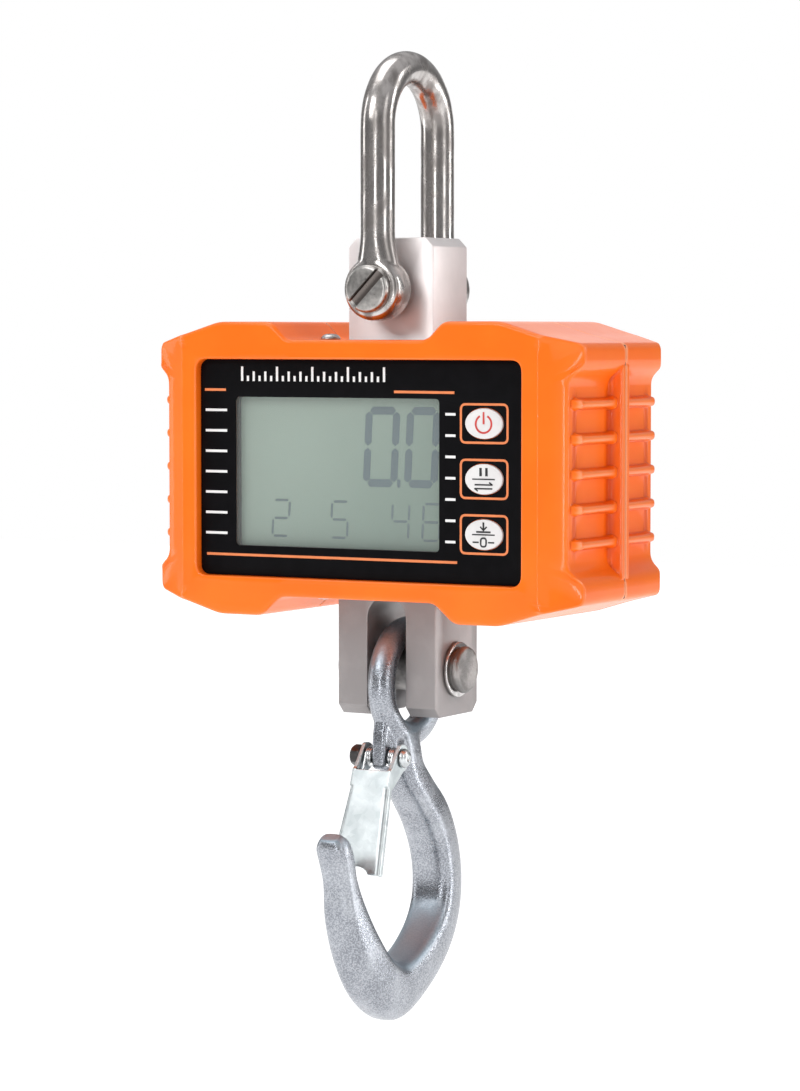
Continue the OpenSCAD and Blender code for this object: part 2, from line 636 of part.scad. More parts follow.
module hook_forging() {
    rings = (len(hook_line) - 1) * hook_steps + 1;
    ends = [hook_line[0], hook_line[len(hook_line) - 1]];
    points = concat([for (i = [0:rings - 1]) each hook_ring(i / hook_steps)], [for (e = ends) [0, e[0], e[1]]]);
    sides = [for (i = [0:rings - 2], k = [0:hook_sides - 1]) let (n = (k + 1) % hook_sides)
        each [[i * hook_sides + k, i * hook_sides + n, (i + 1) * hook_sides + n],
              [i * hook_sides + k, (i + 1) * hook_sides + n, (i + 1) * hook_sides + k]]];
    foot = (rings - 1) * hook_sides;
    caps = [for (k = [0:hook_sides - 1]) let (n = (k + 1) % hook_sides)
        each [[n, k, rings * hook_sides], [foot + k, foot + n, rings * hook_sides + 1]]];
    polyhedron(points, concat(sides, caps));
}

module hook() color("lightsteelblue") hung() difference() {
    union() {
        hook_forging();
        translate([0, eye_centre[0], eye_centre[1]]) rotate([0, 90, 0])
            rotate_extrude() translate([(eye_hole + eye_bar) / 2, 0]) circle(eye_bar / 2);
        // Lug that carries the latch bolt
        along_x(-2.7, 2.7) {
            polygon([[-12, -94], [-17.5, -97.5], [pivot[0] - 4.4, pivot[1] + 1.5], [pivot[0] - 4, pivot[1] - 3],
                     [-14.5, -113.5], [-6, -112]]);
            translate(pivot) circle(4.7);
        }
    }
    rod_x(pivot[0], pivot[1], latch_bolt_dia / 2 + fit_gap, -8, 8);
}

module latch_bolt() color("silver") hung() {
    rod_x(pivot[0], pivot[1], latch_bolt_dia / 2, -latch_w[0] / 2 - 4.2, latch_w[0] / 2 + 0.5);
    rod_x(pivot[0], pivot[1], 4.1, latch_w[0] / 2 + 0.3, latch_w[0] / 2 + 2.2);
    rod_x(pivot[0], pivot[1], 3.1, latch_w[0] / 2 + 2.2, latch_w[0] / 2 + 3.2);
}

module latch_nut() color("dimgray") hung() difference() {
    translate([-latch_w[0] / 2 - 4.4, pivot[0], pivot[1]]) rotate([0, 90, 0])
        cylinder(r = 4.2, h = 4.1, $fn = 6);
    rod_x(pivot[0], pivot[1], latch_bolt_dia / 2 + 0.02, -20, 20);
}

// Pressed latch: a face that widens downwards, two side flanges and two ears
along = (latch_end - latch_top) / norm(latch_end - latch_top);
inward = [-along[1], along[0]];
latch_len = norm(latch_end - latch_top);
latch_bend = 6;

// Places a shape drawn in the face's own plane: x across, y inwards, z up the face
module on_latch() translate([0, latch_top[0], latch_top[1]]) rotate([atan2(along[0], -along[1]), 0, 0]) children();
function face_place(point) = [(point - latch_top) * inward, -(point - latch_top) * along];

// Ear with the bolt hole, upright beside the lug
module latch_ear(low) along_x(low, low + latch_sheet) difference() {
    union() {
        translate(face_place(pivot)) circle(5);
        polygon([face_place(pivot + [-3.5, 3.5]), [0, 0], [0, -latch_bend], [latch_flange, -latch_bend],
                 face_place(pivot + [0.6, -4.9])]);
    }
    translate(face_place(pivot)) circle(latch_bolt_dia / 2 + fit_gap);
}

module latch_pressing() {
    top = latch_w[0] / 2;
    end = latch_w[1] / 2;
    along_y(0, latch_sheet) polygon([
        [-top, 0], [top, 0], [top, -latch_bend], [end, -latch_len], [4.4, -latch_len], [3, -latch_len + 2.4],
        [-3, -latch_len + 2.4], [-4.4, -latch_len], [-end, -latch_len], [-top, -latch_bend]
    ]);
    for (sx = [-1, 1]) along_y(0, latch_flange) polygon([
        [sx * top, -latch_bend + 2], [sx * top, -latch_bend], [sx * end, -latch_len],
        [sx * (end - latch_sheet), -latch_len], [sx * (top - latch_sheet), -latch_bend],
        [sx * (top - latch_sheet), -latch_bend + 2]
    ]);
}

module latch() color("lightsteelblue") hung() {
    on_latch() {
        latch_pressing();
        for (low = [-latch_w[0] / 2, latch_w[0] / 2 - latch_sheet]) latch_ear(low);
    }
}

module latch_spring() color("silver") hung() {
    for (sx = [-1, 1]) {
        low = sx > 0 ? 3 : -6.4;
        difference() {
            rod_x(pivot[0], pivot[1], 3.9, low, low + 3.4);
            rod_x(pivot[0], pivot[1], 3, -20, 20);
        }
    }
    for (sx = [-1, 1]) translate([sx * 5.6, pivot[0] - 3.4, pivot[1]])
        rotate([atan2(along[0], -along[1]), 0, 0]) translate([0, 0, -16]) cylinder(r = 0.5, h = 16);
}

// ------------------------------------------------------------- assembly

shackle_bow();
shackle_pin();
load_cell();
strain_gauges();
gauge_covers();
cell_lead();
top_bracket();
bottom_bracket();
cell_screws();
case_mount_screws();
top_seal();
bottom_seal();
front_shell();
rear_shell();
shell_gasket();
case_screws();
front_panel();
display_window();
lcd_glass();
lcd_bezel();
backlight();
main_board();
board_screws();
key_switches();
processor_chip();
buzzer();
power_key();
hold_key();
tare_key();
battery_holder();
battery_contacts();
battery_1();
battery_2();
battery_3();
rating_plate();
battery_cover();
cover_gasket();
cover_screws();
hook_pin();
pin_rings();
hook();
latch_bolt();
latch_nut();
latch();
latch_spring();
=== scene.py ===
import math

import bmesh
import bpy
import numpy as np
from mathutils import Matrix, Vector


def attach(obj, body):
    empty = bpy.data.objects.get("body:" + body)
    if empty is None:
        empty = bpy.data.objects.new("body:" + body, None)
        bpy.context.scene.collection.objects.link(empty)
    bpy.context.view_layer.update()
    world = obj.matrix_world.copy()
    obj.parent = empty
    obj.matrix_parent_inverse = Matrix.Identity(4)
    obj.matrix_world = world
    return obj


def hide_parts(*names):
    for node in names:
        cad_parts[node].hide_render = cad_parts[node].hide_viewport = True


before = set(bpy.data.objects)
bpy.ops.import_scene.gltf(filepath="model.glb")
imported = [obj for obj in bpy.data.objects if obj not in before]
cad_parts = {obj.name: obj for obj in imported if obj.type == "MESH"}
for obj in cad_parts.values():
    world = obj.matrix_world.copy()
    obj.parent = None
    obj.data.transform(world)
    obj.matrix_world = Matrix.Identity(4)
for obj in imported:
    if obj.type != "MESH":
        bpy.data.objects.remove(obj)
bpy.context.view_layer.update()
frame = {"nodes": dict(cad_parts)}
nodes = frame["nodes"]

mm = 0.001
crown = 142.7  # the row's origin is this far above the middle of the case, mm
print("frame loaded:", len(nodes), "nodes")

# ---- camera

camera = dict(yaw=29.46, pitch=3.55, distance=1301.0, across=-3.0, height=-29.4, lens=114.0)


def setCamera():
    yaw, pitch = math.radians(camera["yaw"]), math.radians(camera["pitch"])
    ahead = Vector((-math.sin(yaw) * math.cos(pitch), math.cos(yaw) * math.cos(pitch), -math.sin(pitch)))
    right = Vector((math.cos(yaw), math.sin(yaw), 0))
    data = bpy.data.cameras.new("camera")
    data.lens, data.sensor_width, data.clip_end = camera["lens"], 36, 20
    made = bpy.data.objects.new("camera", data)
    aim = right * camera["across"] + Vector((0, 0, camera["height"] - crown))
    made.location = (aim - ahead * camera["distance"]) * mm
    made.rotation_euler = ahead.to_track_quat("-Z", "Y").to_euler()
    bpy.context.scene.collection.objects.link(made)
    bpy.context.scene.camera = made


setCamera()


# ---- shader maths

class Wire:  # an output socket; arithmetic on it adds Math nodes
    def __init__(self, nodes, socket):
        self.nodes, self.socket = nodes, socket

    def maths(self, operation, a, b):
        return self.nodes.node("ShaderNodeMath", {0: a, 1: b}, operation=operation)

    def __add__(self, other): return self.maths("ADD", self, other)
    def __radd__(self, other): return self.maths("ADD", other, self)
    def __sub__(self, other): return self.maths("SUBTRACT", self, other)
    def __rsub__(self, other): return self.maths("SUBTRACT", other, self)
    def __mul__(self, other): return self.maths("MULTIPLY", self, other)
    def __rmul__(self, other): return self.maths("MULTIPLY", other, self)
    def __gt__(self, other): return self.maths("GREATER_THAN", self, other)
    def __lt__(self, other): return self.maths("LESS_THAN", self, other)

    def ramp(self, low, high):  # 0 below low, 1 above high
        return self.nodes.node("ShaderNodeMapRange", {"Value": self, "From Min": low, "From Max": high},
                               interpolation_type="SMOOTHSTEP")


class NodeTree:  # the nodes of a material or of the world
    def __init__(self, owner):
        owner.use_nodes = True
        self.tree = owner.node_tree
        self.tree.nodes.clear()

    def node(self, kind, inputs=None, out=0, stops=(), **settings):
        made = self.tree.nodes.new(kind)
        for key, value in settings.items():
            setattr(made, key, value)
        for _ in stops[2:]:
            made.color_ramp.elements.new(0.5)
        for element, (position, tone) in zip(made.color_ramp.elements if stops else (), stops):
            element.position, element.color = position, tone
        self.connect(made, inputs or {})
        return Wire(self, made.outputs[out]) if made.outputs else None

    def connect(self, made, inputs):
        for key, value in inputs.items():
            if isinstance(value, Wire):
                self.tree.links.new(value.socket, made.inputs[key])
            else:
                made.inputs[key].default_value = value


finishes = {}


class Finish(NodeTree):  # one material, kept in finishes by its name; lengths in its patterns are in mm
    def __init__(self, name, colour, roughness, metallic=0.0, **shader):
        self.material = finishes[name] = bpy.data.materials.new(name)
        super().__init__(self.material)
        self.shader = self.tree.nodes.new("ShaderNodeBsdfPrincipled")
        self.node("ShaderNodeOutputMaterial", {0: Wire(self, self.shader.outputs[0])})
        self.material.diffuse_color = (*colour, 1)
        self.feed({"Base Color": (*colour, 1), "Roughness": roughness, "Metallic": metallic, **shader})
        self.place = self.node("ShaderNodeMapping", {
            "Vector": self.node("ShaderNodeTexCoord", out="Object"), "Scale": (1000, 1000, 1000)})

    def feed(self, inputs):
        self.connect(self.shader, inputs)

    def cover(self, colour, roughness):
        self.feed({"Base Color": colour, "Roughness": roughness})

    def noise(self, size, detail=2.0, stretch=(1, 1, 1)):  # size is a blotch's width in mm
        where = self.node("ShaderNodeMapping", {"Vector": self.place, "Scale": stretch})
        return self.node("ShaderNodeTexNoise", {"Vector": where, "Scale": 1 / size, "Detail": detail})

    def blend(self, share, low, high):
        low, high = [(*c, 1) if isinstance(c, tuple) and len(c) == 3 else c for c in (low, high)]
        return self.node("ShaderNodeMix", {0: share, 6: low, 7: high}, out=2, data_type="RGBA")

    def bump(self, height, depth):  # depth in mm
        bumps = self.node("ShaderNodeBump", {"Height": height, "Strength": 1.0, "Distance": depth * mm})
        self.feed({"Normal": bumps})

    def axes(self):  # mm, with z measured from the middle of the case
        split = self.node("ShaderNodeSeparateXYZ", {"Vector": self.place}).socket.node
        x, y, z = (Wire(self, socket) for socket in split.outputs)
        return x, y, z + crown


def orangeCoat():
    # edge and rim: a painted highlight colour and the pointiness range where it lies along outer edges
    look = dict(colour=(0.98, 0.160, 0.006), pale=(1.0, 0.186, 0.009), edge=(1.0, 0.46, 0.26),
                # deep and the crevice range: a painted shade colour and the pointiness range where it lies in hollows
                # and creases
                deep=(0.66, 0.075, 0.003), paintedShadeRange=(0.42, 0.492), rim=(0.514, 0.575),
                rough=0.36, peel=1.6, peelDepth=0.006)
    f = Finish("orangeCoat", look["colour"], look["rough"], **{
        "Coat Weight": 0.30, "Coat Roughness": 0.08, "Specular IOR Level": 0.14})
    bend = f.node("ShaderNodeNewGeometry", out="Pointiness")  # 0.5 on a flat face, more on an outer edge
    coat = f.blend(f.noise(38, 3).ramp(0.35, 0.7), look["colour"], look["pale"])
    # painted shade: a deeper orange-brown where the pointiness falls below a flat face's, in hollows and creases
    coat = f.blend(bend.ramp(*look["paintedShadeRange"]), look["deep"], coat)
    # painted highlight: a pale line along every outer edge, where the pointiness is high
    f.cover(f.blend(bend.ramp(*look["rim"]) * 0.8, coat, look["edge"]),
            look["rough"] + f.noise(9, 4) * 0.10 - 0.05)
    f.bump(f.noise(look["peel"], 2), look["peelDepth"])


def polishedSteel():
    look = dict(colour=(0.56, 0.53, 0.51), dark=(0.24, 0.222, 0.212), rough=0.14, wave=9.0, waveDepth=0.10)
    f = Finish("polishedSteel", look["colour"], look["rough"], 1.0)
    mottle = f.noise(5.5, 5, (1, 1, 0.45)).ramp(0.38, 0.66)
    f.cover(f.blend(mottle, look["dark"], look["colour"]),
            look["rough"] + (1 - mottle) * 0.16 + f.noise(0.8, 3) * 0.06)
    f.bump(f.noise(look["wave"], 2, (1, 1, 0.5)) + f.noise(0.7, 2) * 0.03, look["waveDepth"])


def satinNickel():
    look = dict(colour=(0.92, 0.87, 0.86), shade=(0.29, 0.272, 0.27), rough=0.42, lay=0.22)
    f = Finish("satinNickel", look["colour"], look["rough"], 0.6)
    lay = f.noise(look["lay"], 3, (1, 1, 0.04))
    paintedLight = f.axes()[2].ramp(-45, 50) * 0.85 + f.noise(14, 4) * 0.3 - 0.15  # painted light and shade: lighter up on the lug, darker down on the clevis under the case
    f.cover(f.blend(paintedLight, look["shade"], look["colour"]), look["rough"] + lay * 0.14 - 0.07)
    f.bump(lay, 0.006)


def castZinc():
    look = dict(colour=(0.47, 0.49, 0.525), shade=(0.215, 0.228, 0.255), topTone=(0.29, 0.37, 0.43),
                rough=0.22, grain=0.62, depth=0.11)
    f = Finish("castZinc", look["colour"], look["rough"], 0.9)
    grain = f.noise(look["grain"], 3)
    patch = f.noise(13, 4).ramp(0.35, 0.7)
    facing = f.node("ShaderNodeSeparateXYZ", {"Vector": f.node("ShaderNodeTexCoord", out="Normal")}, out=2)
    upward = facing.ramp(0.1, 0.65)  # duller and colder on faces that point up
    zinc = f.blend(patch * 0.4 + grain.ramp(0.4, 0.62) * 0.6, look["shade"], look["colour"])
    f.cover(f.blend(upward * 0.75, zinc, look["topTone"]),
            look["rough"] + patch * 0.12 + grain * 0.10 - 0.05 + upward * 0.22)
    f.bump(grain + f.noise(2.6, 3) * 0.45, look["depth"])


def headSteel():
    look = dict(colour=(0.46, 0.44, 0.42), worn=(0.32, 0.31, 0.295), slot=(0.15, 0.13, 0.12),
                rough=0.22, face=-31.4, radius=7.9, pinZ=66.7)
    f = Finish("headSteel", look["colour"], look["rough"], 0.95)
    x, y, z = f.axes()
    up = z - look["pinZ"]
    # painted shade: inside the head's radius and behind the face depth, that is in the slot, the steel takes the near
    # black slot colour
    slotShade = (y > look["face"]) * (x * x + up * up < look["radius"] ** 2)
    wear = f.noise(1.8, 4)
    steel = f.blend(wear.ramp(0.35, 0.68), look["worn"], look["colour"])
    f.cover(f.blend(slotShade, steel, look["slot"]), look["rough"] + wear * 0.16)
    f.bump(f.noise(0.2, 3), 0.012)


def sheetZinc():
    look = dict(colour=(0.60, 0.64, 0.645), shade=(0.40, 0.44, 0.45), rough=0.30)
    f = Finish("sheetZinc", look["colour"], look["rough"], 0.95)
    spangle = f.node("ShaderNodeTexVoronoi", {"Vector": f.place, "Scale": 0.35}, out="Color")
    tone = f.node("ShaderNodeSeparateColor", {0: spangle})
    share = tone * 0.4 + f.noise(6, 4).ramp(0.35, 0.7) * 0.6
    f.cover(f.blend(share, look["shade"], look["colour"]), look["rough"] + tone * 0.10)
    f.bump(f.noise(0.45, 3), 0.012)


def metal(name, colour, roughness, grain=0.4, depth=0.01, dark=0.7, stretch=(1, 1, 1)):
    f = Finish(name, colour, roughness, 0.95)
    worn = f.noise(grain * 9, 4)
    f.cover(f.blend(worn.ramp(0.35, 0.68), tuple(c * dark for c in colour), colour),
            roughness + worn * 0.16 - 0.08)
    f.bump(f.noise(grain, 3, stretch), depth)


def plastic(name, colour, roughness, grain=0.35, depth=0.008, fade=0.8, specular=0.5):
    f = Finish(name, colour, roughness, **{"Specular IOR Level": specular})
    f.cover(f.blend(f.noise(grain * 30, 3).ramp(0.35, 0.7), tuple(c * fade for c in colour), colour),
            roughness + f.noise(grain * 8, 3) * 0.12 - 0.06)
    f.bump(f.noise(grain, 2), depth)


def displayGlass():
    look = dict(light=(0.265, 0.335, 0.285), deep=(0.165, 0.228, 0.19), rough=0.36)
    f = Finish("displayGlass", look["light"], look["rough"], **{"Specular IOR Level": 0.25})
    x, y, z = f.axes()
    across = x * 0.010 - z * 0.012 + f.noise(30, 2) * 0.25
    f.cover(f.blend(across.ramp(-0.55, 0.75), look["light"], look["deep"]),
            look["rough"] + f.noise(12, 2) * 0.08 - 0.04)


def windowGlass():
    f = Finish("windowGlass", (0.88, 0.93, 0.90), 0.04, 0.0, **{"Alpha": 0.06, "IOR": 1.3})
    f.feed({"Roughness": 0.03 + f.noise(20, 3) * 0.04})


def boardGreen():
    look = dict(mask=(0.02, 0.16, 0.06), pale=(0.03, 0.20, 0.08), track=(0.05, 0.28, 0.12), rough=0.35)
    f = Finish("boardGreen", look["mask"], look["rough"])
    flat = f.node("ShaderNodeMapping", {"Vector": f.place, "Rotation": (math.pi / 2, 0, 0)})
    tracks = f.node("ShaderNodeTexBrick", {
        "Vector": flat, "Color1": (*look["mask"], 1), "Color2": (*look["pale"], 1),
        "Mortar": (*look["track"], 1), "Scale": 0.22, "Mortar Size": 0.03})
    f.cover(tracks, look["rough"] + f.noise(4, 2) * 0.1)


def batteryJacket():
    look = dict(wrap=(0.015, 0.02, 0.03), band=(0.75, 0.42, 0.10), steel=(0.7, 0.7, 0.7))
    f = Finish("batteryJacket", look["wrap"], 0.28)
    x = f.axes()[0]
    band = (x > 12.0) * (x < 23.6)
    bare = x > 24.3
    f.cover(f.blend(bare, f.blend(band, look["wrap"], look["band"]), look["steel"]), 0.24 + f.noise(3, 3) * 0.1)
    f.feed({"Metallic": bare * 0.9})


metals = dict(  # colour, roughness, grain in mm, its depth, tone of the dark patches, stretch of the grain
    pinSteel=((0.36, 0.345, 0.335), 0.44, 0.9, 0.22, 0.5),
    ringSteel=((0.62, 0.60, 0.59), 0.22),
    screwSteel=((0.56, 0.54, 0.53), 0.30),
    boltZinc=((0.62, 0.65, 0.66), 0.28),
    springSteel=((0.70, 0.71, 0.72), 0.22),
    blackOxide=((0.09, 0.085, 0.085), 0.32),
    gaugeFoil=((0.62, 0.42, 0.16), 0.35),
    contactSteel=((0.66, 0.66, 0.64), 0.25),
    labelPlate=((0.70, 0.70, 0.70), 0.42, 0.2, 0.004, 0.9, (0.05, 1, 1)))
plastics = dict(  # colour, roughness, grain in mm, its depth, tone of the faded patches, specular level
    blackRubber=((0.018, 0.018, 0.019), 0.72, 0.5, 0.02),
    leadJacket=((0.16, 0.16, 0.17), 0.6),
    blackPanel=((0.0035, 0.0033, 0.0042), 0.45, 0.18, 0.004, 0.7, 0.06),
    blackPlastic=((0.02, 0.02, 0.022), 0.5),
    surroundGrey=((0.055, 0.06, 0.06), 0.5),
    whitePlastic=((0.80, 0.80, 0.78), 0.45),
    keyWhite=((0.80, 0.785, 0.775), 0.34, 0.25, 0.004, 0.93),
    inkWhite=((0.86, 0.86, 0.85), 0.5, 0.2, 0.002, 0.93),
    inkOrange=((0.85, 0.24, 0.075), 0.5, 0.2, 0.002, 0.9),
    inkRed=((0.62, 0.055, 0.045), 0.5, 0.2, 0.002, 0.9),
    inkBlack=((0.012, 0.012, 0.013), 0.5, 0.2, 0.002, 0.8),
    segment=((0.080, 0.122, 0.138), 0.4, 0.5, 0.002, 0.9),
    segmentFaint=((0.088, 0.130, 0.136), 0.4, 0.5, 0.002, 0.9))
for make in (polishedSteel, satinNickel, castZinc, headSteel, sheetZinc, orangeCoat, displayGlass,
             windowGlass, boardGreen, batteryJacket):
    make()
for kind, table in ((metal, metals), (plastic, plastics)):
    for name, values in table.items():
        kind(name, *values)
print("finishes:", len(finishes))

# the CAD nodes that take each finish
nodeFinish = dict(
    satinNickel="load_cell gauge_covers",
    gaugeFoil="strain_gauges",
    leadJacket="cell_lead",
    sheetZinc="top_bracket bottom_bracket latch latch_bolt",
    springSteel="latch_spring",
    screwSteel="cell_screws case_mount_screws case_screws board_screws cover_screws",
    contactSteel="battery_contacts",
    blackRubber="top_seal bottom_seal shell_gasket cover_gasket",
    orangeCoat="front_shell rear_shell battery_cover",
    blackPanel="front_panel",
    windowGlass="display_window",
    displayGlass="lcd_glass",
    blackPlastic="lcd_bezel key_switches processor_chip buzzer battery_holder",
    whitePlastic="backlight",
    keyWhite="power_key hold_key tare_key",
    boardGreen="main_board",
    batteryJacket="battery_1 battery_2 battery_3",
    labelPlate="rating_plate",
    polishedSteel="shackle_bow",
    headSteel="shackle_pin",
    pinSteel="hook_pin",
    ringSteel="pin_rings",
    castZinc="hook",
    blackOxide="latch_nut")


def paint(obj, finish):
    obj.data.materials.clear()
    obj.data.materials.append(finishes[finish])


for finish, names in nodeFinish.items():
    for name in names.split():
        paint(nodes[name], finish)


# ---- shapes as numpy grids; points are in mm about the middle of the case

def grid(points, aroundRows=False, aroundCols=False):
    # Quads between neighbouring rows and columns of a rows x cols array of points
    points = np.asarray(points, float)
    rows, cols = points.shape[:2]
    i = np.arange(rows if aroundRows else rows - 1)
    j = np.arange(cols if aroundCols else cols - 1)
    i, j = (a.ravel() for a in np.meshgrid(i, j, indexing="ij"))
    down, next_ = (i + 1) % rows, (j + 1) % cols
    quads = np.stack([i * cols + j, i * cols + next_, down * cols + next_, down * cols + j], -1)
    return points.reshape(-1, 3), quads


def joined(*parts):
    # Several point and quad pairs as one
    starts = np.cumsum([0] + [len(p) for p, _ in parts[:-1]])
    return np.concatenate([p for p, _ in parts]), np.concatenate([q + s for (_, q), s in zip(parts, starts)])


def unit(vectors):
    return vectors / np.linalg.norm(vectors, axis=-1, keepdims=True)


def tube(rings):
    # A closed skin over rings of points, with a point in the middle of each end
    rings = np.asarray(rings, float)
    ends = [np.repeat(rings[i].mean(0)[None, None], rings.shape[1], 1) for i in (0, -1)]
    return grid(np.concatenate([ends[0], rings, ends[1]]), aroundCols=True)


def atDepth(line, depth):
    # An X-Z line as points that all have one Y
    return np.stack([line[:, 0], np.full(len(line), float(depth)), line[:, 1]], -1)


def edit(mesh, change):
    work = bmesh.new()
    work.from_mesh(mesh)
    change(work)
    work.to_mesh(mesh)
    work.free()


def weld(mesh, distance=2e-6):
    def change(work):
        bmesh.ops.remove_doubles(work, verts=work.verts, dist=distance)
        bmesh.ops.dissolve_degenerate(work, edges=work.edges, dist=1e-7)
        bmesh.ops.recalc_face_normals(work, faces=work.faces)

    edit(mesh, change)


def newObject(name, data):
    made = bpy.data.objects.new(name, data)
    bpy.context.scene.collection.objects.link(made)
    return made


def solid(name, shape, crease=35):
    points, quads = shape
    where = points.copy()
    where[:, 2] -= crown
    mesh = bpy.data.meshes.new(name)
    mesh.from_pydata((where * mm).tolist(), [], quads.tolist())
    weld(mesh)
    shade(mesh, crease)
    return newObject(name, mesh)


def shade(mesh, crease):
    mesh.polygons.foreach_set("use_smooth", np.ones(len(mesh.polygons), bool))
    if crease < 180:
        mesh.set_sharp_from_angle(angle=math.radians(crease))
    mesh.update()


def settle(obj, crease=35):
    # Puts an object's modifiers into its mesh, and drops the slivers that they leave
    ready = obj.evaluated_get(bpy.context.evaluated_depsgraph_get())
    mesh = bpy.data.meshes.new_from_object(ready)
    obj.modifiers.clear()
    obj.data = mesh
    edit(mesh, lambda work: bmesh.ops.dissolve_degenerate(work, dist=2e-6, edges=work.edges))
    shade(mesh, crease)
    return obj


def cut(obj, cutters, crease=35):
    for k, cutter in enumerate(cutters):
        modifier = obj.modifiers.new(f"cut{k}", "BOOLEAN")
        modifier.operation, modifier.solver, modifier.object = "DIFFERENCE", "EXACT", cutter
    settle(obj, crease)
    for cutter in cutters:
        bpy.data.objects.remove(cutter)
    return obj


def add(obj, body, finish, slot, *replaced):
    paint(obj, finish)
    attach(obj, body)
    if replaced:
        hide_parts(*replaced)
    return obj


def turned(profile, centre, axis, steps=48):
    # A profile of [distance along the axis, radius] points turned about the axis through centre
    profile = np.asarray(profile, float)
    axis = unit(np.asarray(axis, float))
    side = np.array([0, 0, 1.0]) if abs(axis[2]) < 0.9 else np.array([1.0, 0, 0])
    u = unit(np.cross(side, axis))
    turn = circle(1.0, steps)
    ring = turn[:, :1] * u + turn[:, 1:] * np.cross(axis, u)
    points = np.asarray(centre, float) + profile[:, 0, None, None] * axis + profile[:, 1, None, None] * ring
    return grid(points, aroundCols=True)


def rounded(corners, setback, steps=5):
    # A closed 2-D outline whose corners become parabolas that start setback before each corner
    corners = np.asarray(corners, float)
    setback = np.broadcast_to(setback, len(corners))[:, None]
    before, after = np.roll(corners, 1, 0) - corners, np.roll(corners, -1, 0) - corners
    a, b = corners + unit(before) * setback, corners + unit(after) * setback
    t = np.linspace(0, 1, steps)[None, :, None]
    return ((1 - t) ** 2 * a[:, None] + 2 * t * (1 - t) * corners[:, None] + t ** 2 * b[:, None]).reshape(-1, 2)


def carried(path, across, section):
    # A closed section carried along a path: each station has its own [across, outwards] section
    across = np.broadcast_to(np.asarray(across, float), path.shape)
    outwards = np.cross(unit(np.gradient(path, axis=0)), across)
    section = np.broadcast_to(section, (len(path), *np.shape(section)[-2:]))
    return path[:, None] + section[..., :1] * across[:, None] + section[..., 1:] * outwards[:, None]


def circle(radius, steps):
    a = np.arange(steps) * 2 * math.pi / steps
    return np.stack([radius * np.cos(a), radius * np.sin(a)], -1)


# ---- the case: rings of points round the middle, one ring after another from the opening
# over the outer edge to the parting line and back along the inside; lengths in mm

case = dict(
    halfWidth=90, halfDepth=40, halfHeight=54.7, slopeX=75, slopeZ=50, flatX=59.4, endZ=46.5,
    topNotch=(29.7, 48, 36.4), bottomNotch=(32.6, 47.4, 40.8), recessX=84.6, recessZ=33.7, lipZ=38.5,
    chamfer=0.56, bead=0.14, beadHalf=0.5, wall=3.5, edge=1.5, corner=2.6,
    ribPitch=12.6, ribX=88, ribBall=(29.3, 1.5, 0.30), ribRoot=(0.8, 1.6, 0.55), edgeDepth=33.3, fadeDepth=20,
    # distance from a rib's middle, or depth along it, and the share of the rib's height there
    ribSide=((0, 0.7, 1.1, 1.35, 1.5, 1.6, 1.8, 2.1), (1, 0.97, 0.88, 0.7, 0.45, 0.25, 0.07, 0)),
    ribEnd=((28.6, 30.1, 30.7, 31.2, 31.6, 31.9, 32.2), (1, 0.97, 0.88, 0.7, 0.45, 0.2, 0)),
    flangeRise=((-0.15, 0.1, 0.3, 0.5, 0.7, 1.0, 1.5, 2.2), (1, 0.93, 0.74, 0.47, 0.26, 0.12, 0.03, 0)),
    sideDepths=(33.3, 32.6, 32.2, 31.9, 31.6, 31.2, 30.7, 30.1, 29.4, 28.6, 27.8, 27, 22),
    flangeSteps=(9, 5, 3.2, 2.2, 1.5, 1.0, 0.7, 0.5, 0.3, 0.1, -0.15, -0.5, -1.0))


def caseOutline(side, inset=0):
    # X-Z outline of the case, anticlockwise from the right side; the recessed one ends in lips
    c = case
    lip = c["halfWidth"] if side == c["recessX"] else side

    def quarter(notch):
        return np.array([(side, c["recessZ"]), (lip, c["lipZ"]), (lip, c["endZ"]), (c["slopeX"], c["slopeZ"]),
                         (c["flatX"], c["halfHeight"]), (notch[2], c["halfHeight"]), (notch[0], notch[1])], float)

    top, bottom = quarter(c["topNotch"]), quarter(c["bottomNotch"])
    line = rounded(np.concatenate([top, (top * (-1, 1))[::-1], bottom * (-1, -1), (bottom * (1, -1))[::-1]]),
                   c["corner"], 6)
    ahead = unit(np.roll(line, -1, 0) - np.roll(line, 1, 0))
    return line - inset * np.stack([ahead[:, 1], -ahead[:, 0]], -1)


def rectangle(x, z, radius, steps=7):
    return rounded([(x[1], z[0]), (x[1], z[1]), (x[0], z[1]), (x[0], z[0])], radius, steps)


def frameRound(place, margin, radius):
    # A rectangle that stands off another by margin on every side
    (x0, x1), (z0, z1) = place["x"], place["z"]
    return rectangle((x0 - margin, x1 + margin), (z0 - margin, z1 + margin), radius)


def angleOf(line):
    return np.arctan2(line[:, 1], line[:, 0])


def cast(line, angles):
    # Where rays from the middle at these angles cross a closed outline
    line = line[np.argsort(angleOf(line))]
    turn = angleOf(line)
    line = np.concatenate([line[-1:], line, line[:1]])
    turn = np.concatenate([turn[-1:] - 2 * math.pi, turn, turn[:1] + 2 * math.pi])
    k = np.clip(np.searchsorted(turn, angles, side="right") - 1, 0, len(line) - 2)
    a, b = line[k], line[k + 1]
    ray = np.stack([np.cos(angles), np.sin(angles)], -1)
    cross = lambda p, q: p[:, 0] * q[:, 1] - p[:, 1] * q[:, 0]
    below = cross(b - a, ray)
    crossing = np.abs(below) > 1e-9
    share = np.where(crossing, -cross(a, ray) / np.where(crossing, below, 1), 0)
    return a + np.clip(share, 0, 1)[:, None] * (b - a)


def faceDepth(x):
    # The face falls back towards the side ends from a soft crease with a fine raised line along it
    c, soft = case, 1.0
    past = np.abs(x) - c["slopeX"]
    fall = np.where(past < -soft, 0, np.where(past > soft, past, (past + soft) ** 2 / (4 * soft)))
    return c["halfDepth"] - c["bead"] - c["chamfer"] * fall + c["bead"] * np.exp(-(past / c["beadHalf"]) ** 2)


